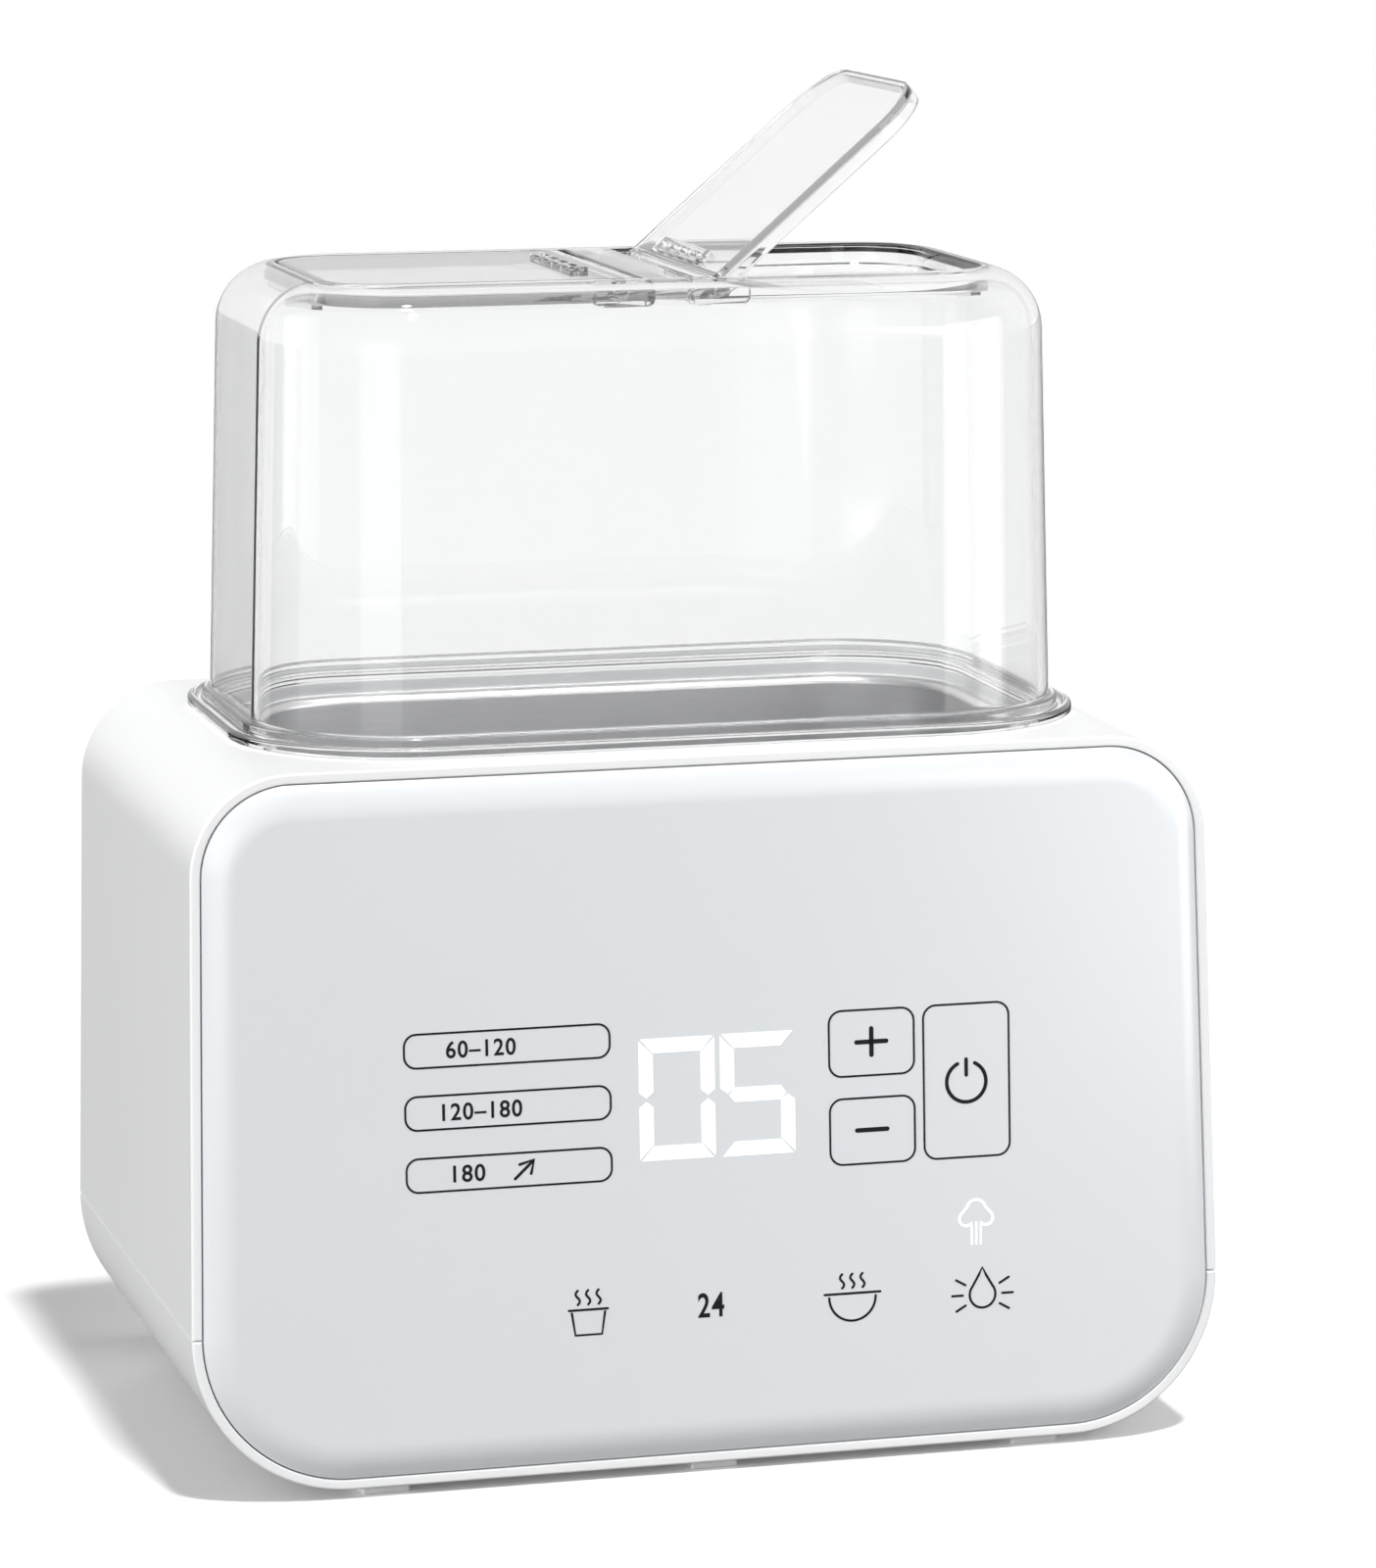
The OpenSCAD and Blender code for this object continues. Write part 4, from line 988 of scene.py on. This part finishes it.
def key_outlines():
    ink = Ink()
    for s in AMOUNT_ROWS:
        ink.frame(AMOUNT_LEFT, AMOUNT_RIGHT, s - AMOUNT_HALF, s + AMOUNT_HALF, AMOUNT_R, KEY_LINE)
    ink.frame(ADJUST_LEFT, ADJUST_RIGHT, PLUS_LOW, PLUS_HIGH, KEY_R, KEY_LINE)
    ink.frame(ADJUST_LEFT, ADJUST_RIGHT, MINUS_LOW, MINUS_HIGH, KEY_R, KEY_LINE)
    ink.frame(POWER_LEFT, POWER_RIGHT, POWER_LOW, POWER_HIGH, KEY_R, KEY_LINE)
    return ink.build("print_key_outlines")


def key_signs():
    """Plus, minus, power and arrow signs; the plus has its upright in two halves."""
    ink = Ink()
    ink.stroke([(PLUS_X - 3.2, PLUS_S), (PLUS_X + 3.2, PLUS_S)], ADJUST_LINE)
    ink.stroke([(PLUS_X, PLUS_S - 2.75), (PLUS_X, PLUS_S - 0.47)], ADJUST_LINE)
    ink.stroke([(PLUS_X, PLUS_S + 0.47), (PLUS_X, PLUS_S + 2.75)], ADJUST_LINE)
    ink.stroke([(PLUS_X - 3.3, MINUS_S), (PLUS_X + 3.2, MINUS_S)], ADJUST_LINE)
    ink.stroke(arc_points((POWER_X, 76.5), 4.25, 64, -244, 40), POWER_LINE)
    ink.stroke([(POWER_X, 77.9), (POWER_X, 81.2)], POWER_LINE)
    ink.stroke([(-42.3, 62.2), (-38.6, 65.6)], ARROW_LINE)
    ink.stroke([(-41.3, 65.1), (-38.27, 65.94), (-38.94, 63.1)], ARROW_LINE)
    return ink.build("print_key_signs")


def digit_segments(ink, x_a, x_b, s_a, s_b, lit):
    """Lit segments of one digit: a top, b and c right, d foot, e and f left, g middle."""
    t = 3.05
    gap = 0.3
    slant = t + gap - 0.4
    mid = (s_a + s_b) / 2
    h = t / 2

    def level(s, way):
        return [(x_a + gap, s), (x_b - gap, s), (x_b - slant, s + way * t), (x_a + slant, s + way * t)]

    def upright(x, across, s, way):
        return [(x, s - way * gap), (x + across * t, s - way * (t + gap)), (x + across * t, mid + way * h),
                (x + across * h, mid + way * gap), (x, mid + way * h)]

    shapes = {
        "a": level(s_b, -1), "d": level(s_a, 1),
        "f": upright(x_a, 1, s_b, 1), "b": upright(x_b, -1, s_b, 1),
        "e": upright(x_a, 1, s_a, -1), "c": upright(x_b, -1, s_a, -1),
        "g": [(x_a + h + gap, mid), (x_a + t, mid + h), (x_b - t, mid + h), (x_b - h - gap, mid), (x_b - t, mid - h),
              (x_a + t, mid - h)],
    }
    for name in lit:
        ink.patch(shapes[name])


def lit_display():
    ink = Ink()
    digit_segments(ink, -16.0, 0.1, 64.05, 89.3, "abcdef")
    digit_segments(ink, 1.2, 17.1, 63.95, 89.4, "afgcd")
    return ink.build("print_lit_digits")


def steam_sign():
    """Small lit cloud over three rising lines."""
    ink = Ink()
    side = 2.15
    puff = arc_points((STEAM_X - side, 47.7), 1.5, 300, 110, 9)[:-1] + arc_points((STEAM_X, 49.5), 2.1, 165, 15, 11)
    puff += arc_points((STEAM_X + side, 47.7), 1.5, 70, -120, 9)[1:]
    ink.stroke(puff, 0.62)
    for off in (-0.95, 0.0, 0.95):
        ink.stroke([(STEAM_X + off, 42.3), (STEAM_X + 1.1 * off, 46.8)], 0.5)
    return ink.build("print_lit_steam")


def warm_waves(ink, x_mid, s):
    """Three wavy lines rising side by side."""
    for off in (-2.2, 0.0, 2.2):
        ink.stroke([(x_mid + off + 0.45 * math.sin(k * 0.9), s + 0.42 * k) for k in range(8)], MODE_LINE)


def mode_signs():
    """Plain pictures of three modes: a cup with waves, a bowl with waves, a drop with rays."""
    ink = Ink()
    ink.stroke([(CUP_X - 3.5, 33.6), (CUP_X - 2.8, 29.0), (CUP_X + 2.8, 29.0), (CUP_X + 3.5, 33.6)], MODE_LINE)
    ink.stroke([(CUP_X - 4.1, 34.2), (CUP_X + 4.1, 34.2)], MODE_LINE)
    warm_waves(ink, CUP_X, 35.3)
    ink.stroke(arc_points((BOWL_X, 33.0), 5.0, 180, 360, 22), MODE_LINE)
    ink.stroke([(BOWL_X - 6.0, 33.75), (BOWL_X + 6.0, 33.75)], MODE_LINE)
    warm_waves(ink, BOWL_X, 34.9)
    drop = arc_points((DROP_X, DROP_S), 2.8, -220, 40, 24)
    drop += [(DROP_X + 0.8, 35.7), (DROP_X, 37.3), (DROP_X - 0.8, 35.7)]
    ink.loop_line(drop, MODE_LINE)
    for a in (-30, 0, 30, 150, 180, 210):
        c, s = math.cos(math.radians(a)), math.sin(math.radians(a))
        ink.stroke([(DROP_X + r * c, DROP_S + r * s) for r in (4.3, 6.6)], MODE_LINE)
    return ink.build("print_mode_signs")


def number_print(name, digits, x_a, x_b, s, height):
    """Plain printed number between two places across, centred at a height on the face."""
    curve = bpy.data.curves.new(name, "FONT")
    curve.body = digits
    curve.offset = 0.016
    curve.space_character = 1.12
    curve.extrude = 0.5
    text = bpy.data.objects.new(name, curve)
    bpy.context.scene.collection.objects.link(text)
    mesh = bpy.data.meshes.new_from_object(text.evaluated_get(bpy.context.evaluated_depsgraph_get()))
    bpy.data.objects.remove(text)
    (left, right), (low, high) = [(min(line), max(line)) for line in zip(*[v.co.xy for v in mesh.vertices])]
    for v in mesh.vertices:
        across = x_a + (v.co.x - left) / (right - left) * (x_b - x_a)
        up = s + ((v.co.y - low) / (high - low) - 0.5) * height
        v.co = Vector(on_panel(across, up, INK if v.co.z > 0 else -INK)) * MM
    piece = bpy.data.objects.new(name, mesh)
    bpy.context.scene.collection.objects.link(piece)
    return piece


for made in (key_outlines(), key_signs(), mode_signs(),
             number_print("print_low_range", "60–120", -56.15, -41.65, 89.5, NUMBER_H),
             number_print("print_mid_range", "120–180", -57.2, -40.55, 76.75, NUMBER_H),
             number_print("print_high_range", "180", -55.2, -48.5, 64.0, NUMBER_H),
             number_print("print_hours", "24", -4.3, 1.3, 33.4, 5.1)):
    dress(shade(made), PRINT_DARK, "base", "")
for made in (lit_display(), steam_sign()):
    dress(shade(made), PRINT_LIT, "base", "")


# Pieces kept as constructed

def finish_node(name, material, edge=0.0):
    """Gives a constructed piece its material and, where it is seen, softened edges."""
    piece = nodes[name]
    piece.data.materials.clear()
    piece.data.materials.append(material)
    if edge:
        weld = piece.modifiers.new("weld", "WELD")
        weld.merge_threshold = 1e-5
        soften = piece.modifiers.new("soften", "BEVEL")
        soften.width = edge * MM
        soften.segments = 3
        soften.limit_method = "ANGLE"
        soften.angle_limit = math.radians(40)
        even_normals(piece)


finish_node("feet", FOOT_PAD, 0.5)
finish_node("lift_tray", TRAY_WHITE, 0.3)
finish_node("cord_gland", GLAND_RUBBER, 0.3)
finish_node("casing_screws", SCREW_STEEL, 0.2)
for name, material in (
        ("panel_frame", INNER_WHITE), ("control_board", BOARD), ("display_module", BLACK_PLASTIC),
        ("touch_springs", SPRING_BRASS), ("buzzer", BLACK_PLASTIC), ("tank_gasket", GASKET_GREY),
        ("heating_plate", CAST_METAL), ("heating_element", ELEMENT_STEEL), ("plate_nuts", SCREW_STEEL),
        ("thermostat", BLACK_PLASTIC), ("thermal_fuse", CERAMIC), ("temperature_sensor", SPRING_BRASS),
        ("power_board", BOARD), ("transformer", CORE_IRON), ("relay", BLACK_PLASTIC),
        ("capacitor", BLACK_PLASTIC), ("terminal_blocks", BLOCK_GREEN), ("heater_leads", LEAD_RED),
        ("ribbon_cable", RIBBON_GREY), ("board_screws", SCREW_STEEL)):
    finish_node(name, material)


# Floor, light and camera

def studio_sheet(name, corners, material):
    """Flat sheet of the stage."""
    shell = Shell()
    shell.fill(shell.ring(corners))
    sheet = shell.build(name)
    sheet.data.materials.append(material)
    return sheet


def studio_floor():
    """White floor with the object's shadow; it throws back less light than it shows."""
    material, tree, skin = new_material("floor_white", {"Base Color": (1.0, 1.0, 1.0, 1.0), "Roughness": 0.9,
                                                        "Specular IOR Level": 0.0})
    dim = add_node(tree, "ShaderNodeBsdfDiffuse", {"Color": (0.18, 0.18, 0.182, 1.0)})
    glow = add_node(tree, "ShaderNodeEmission", {"Strength": 0.08})
    both = add_node(tree, "ShaderNodeAddShader")
    way = add_node(tree, "ShaderNodeLightPath")
    seen = add_node(tree, "ShaderNodeMath")
    seen.operation = "MAXIMUM"
    choose = add_node(tree, "ShaderNodeMixShader")
    wire(tree, (way, "Is Camera Ray", seen, 0), (way, "Is Transmission Ray", seen, 1), (skin, "BSDF", both, 0),
         (glow, "Emission", both, 1), (seen, "Value", choose, "Fac"), (dim, "BSDF", choose, 1),
         (both, "Shader", choose, 2), (choose, "Shader", tree.nodes["Material Output"], "Surface"))
    wide = 20000.0
    corners = [(-wide, -wide, 0), (wide, -wide, 0), (wide, wide, 0), (-wide, wide, 0)]
    floor = studio_sheet("studio_floor", corners, material)


def studio_world():
    """White behind the object, an even room light, and darker sides for the clear walls to bend."""
    world = bpy.data.worlds.new("studio")
    bpy.context.scene.world = world
    world.use_nodes = True
    tree = world.node_tree
    tree.nodes.clear()
    out = add_node(tree, "ShaderNodeOutputWorld")
    way = add_node(tree, "ShaderNodeLightPath")
    room = add_node(tree, "ShaderNodeBackground", {"Strength": 0.09})
    white = add_node(tree, "ShaderNodeBackground", {"Color": (1.0, 1.0, 1.0, 1.0)})
    gloss = add_node(tree, "ShaderNodeBackground", {"Color": (0.75, 0.75, 0.75, 1.0)})
    sides = add_node(tree, "ShaderNodeBackground")
    place = add_node(tree, "ShaderNodeTexCoord")
    turn = add_node(tree, "ShaderNodeVectorMath", {1: (0.265, 0.964, 0.0)})
    turn.operation = "DOT_PRODUCT"
    ramp = add_node(tree, "ShaderNodeValToRGB")
    steps = ramp.color_ramp.elements
    steps[0].position = 0.42
    steps[0].color = (0.1, 0.1, 0.103, 1.0)
    steps[1].position = 0.72
    steps[1].color = (1.0, 1.0, 1.0, 1.0)
    for position, colour in ((0.0, (0.9, 0.9, 0.9, 1.0)), (0.2, (0.75, 0.75, 0.76, 1.0))):
        steps.new(position).color = colour
    scale = add_node(tree, "ShaderNodeMapRange", {"From Min": -1.0})
    wire(tree, (place, "Generated", turn, 0), (turn, "Value", scale, "Value"), (scale, "Result", ramp, "Fac"),
         (ramp, "Color", sides, "Color"))
    shown = gloss
    for kind, chosen in (("Is Transmission Ray", sides), ("Is Diffuse Ray", room), ("Is Camera Ray", white)):
        choose = add_node(tree, "ShaderNodeMixShader")
        wire(tree, (way, kind, choose, "Fac"), (shown, 0, choose, 1), (chosen, 0, choose, 2))
        shown = choose
    wire(tree, (shown, 0, out, "Surface"))


def studio_lamp(name, kind, energy, toward, mirrored):
    """Lamp on the side that toward points to; only a mirrored one shows in gloss and clear walls."""
    lamp = bpy.data.lights.new(name, kind)
    lamp.energy = energy
    light = bpy.data.objects.new(name, lamp)
    light.rotation_mode = "QUATERNION"
    light.rotation_quaternion = toward.to_track_quat("Z", "Y")
    light.visible_glossy = mirrored
    light.visible_transmission = mirrored
    bpy.context.scene.collection.objects.link(light)
    return light


def studio_light():
    """Two lamps overhead for the floor's shadow, low fills on three sides, and softboxes and a strip for the gloss."""
    for name, energy, wide, toward, mirrored in (("over_front", 2.22, 5, (0.07, -0.343, 0.937), True),
                                                 ("over_middle", 0.12, 5, (0.07, 0.0, 0.997), True),
                                                 ("side_fill", 2.5, 20, (-0.97, -0.2, 0.1), False),
                                                 ("rear_fill", 2.4, 10, (0.45, 0.89, 0.07), False)):
        studio_lamp(name, "SUN", energy, Vector(toward), mirrored).data.angle = math.radians(wide)
    aim = Vector((0.0, -0.06, 0.09))
    for name, energy, wide, high, place, mirrored in (
            ("front_fill", 1.5, 0.5, 0.22, (-0.45, -0.78, 0.12), False),
            ("left_softbox", 0.6, 0.5, 0.45, (-0.45, -0.8, 0.26), True),
            ("right_softbox", 1.2, 0.56, 0.44, (0.42, -0.4, 0.225), True),
            ("right_strip", 0.35, 0.2, 0.35, (0.53, -0.32, 0.18), True)):
        light = studio_lamp(name, "AREA", energy, Vector(place) - aim, mirrored)
        light.location = place
        light.data.shape = "RECTANGLE"
        light.data.size = wide
        light.data.size_y = high


def dark_card():
    """Dark card behind the left side, seen only in the gloss and through the bends of the clear walls."""
    material = new_material("card_dark", {
        "Base Color": (0.05, 0.05, 0.052, 1.0), "Emission Color": (1.0, 1.0, 1.0, 1.0), "Emission Strength": 0.08,
        "Roughness": 0.9, "Specular IOR Level": 0.0})[0]
    x, y_a, y_b, low, high = -620.0, 60.0, 500.0, 1.0, 230.0
    card = studio_sheet("card_left", [(x, y_a, low), (x, y_b, low), (x, y_b, high), (x, y_a, high)], material)
    card.visible_camera = False
    card.visible_diffuse = False
    card.visible_shadow = False
    card.visible_volume_scatter = False


def studio_camera():
    lens = bpy.data.cameras.new("camera")
    lens.sensor_fit = "AUTO"
    lens.sensor_width = 36.0
    lens.lens = 142.82
    lens.clip_start = 0.05
    lens.clip_end = 60.0
    camera = bpy.data.objects.new("camera", lens)
    camera.location = (-0.333952, -1.260711, 0.363557)
    camera.rotation_euler = (math.radians(90 - 10.049), 0.0, math.radians(-15.348))
    bpy.context.scene.collection.objects.link(camera)
    bpy.context.scene.camera = camera


studio_floor()
studio_world()
studio_light()
dark_card()
studio_camera()
bpy.context.scene.view_settings.view_transform = "Standard"
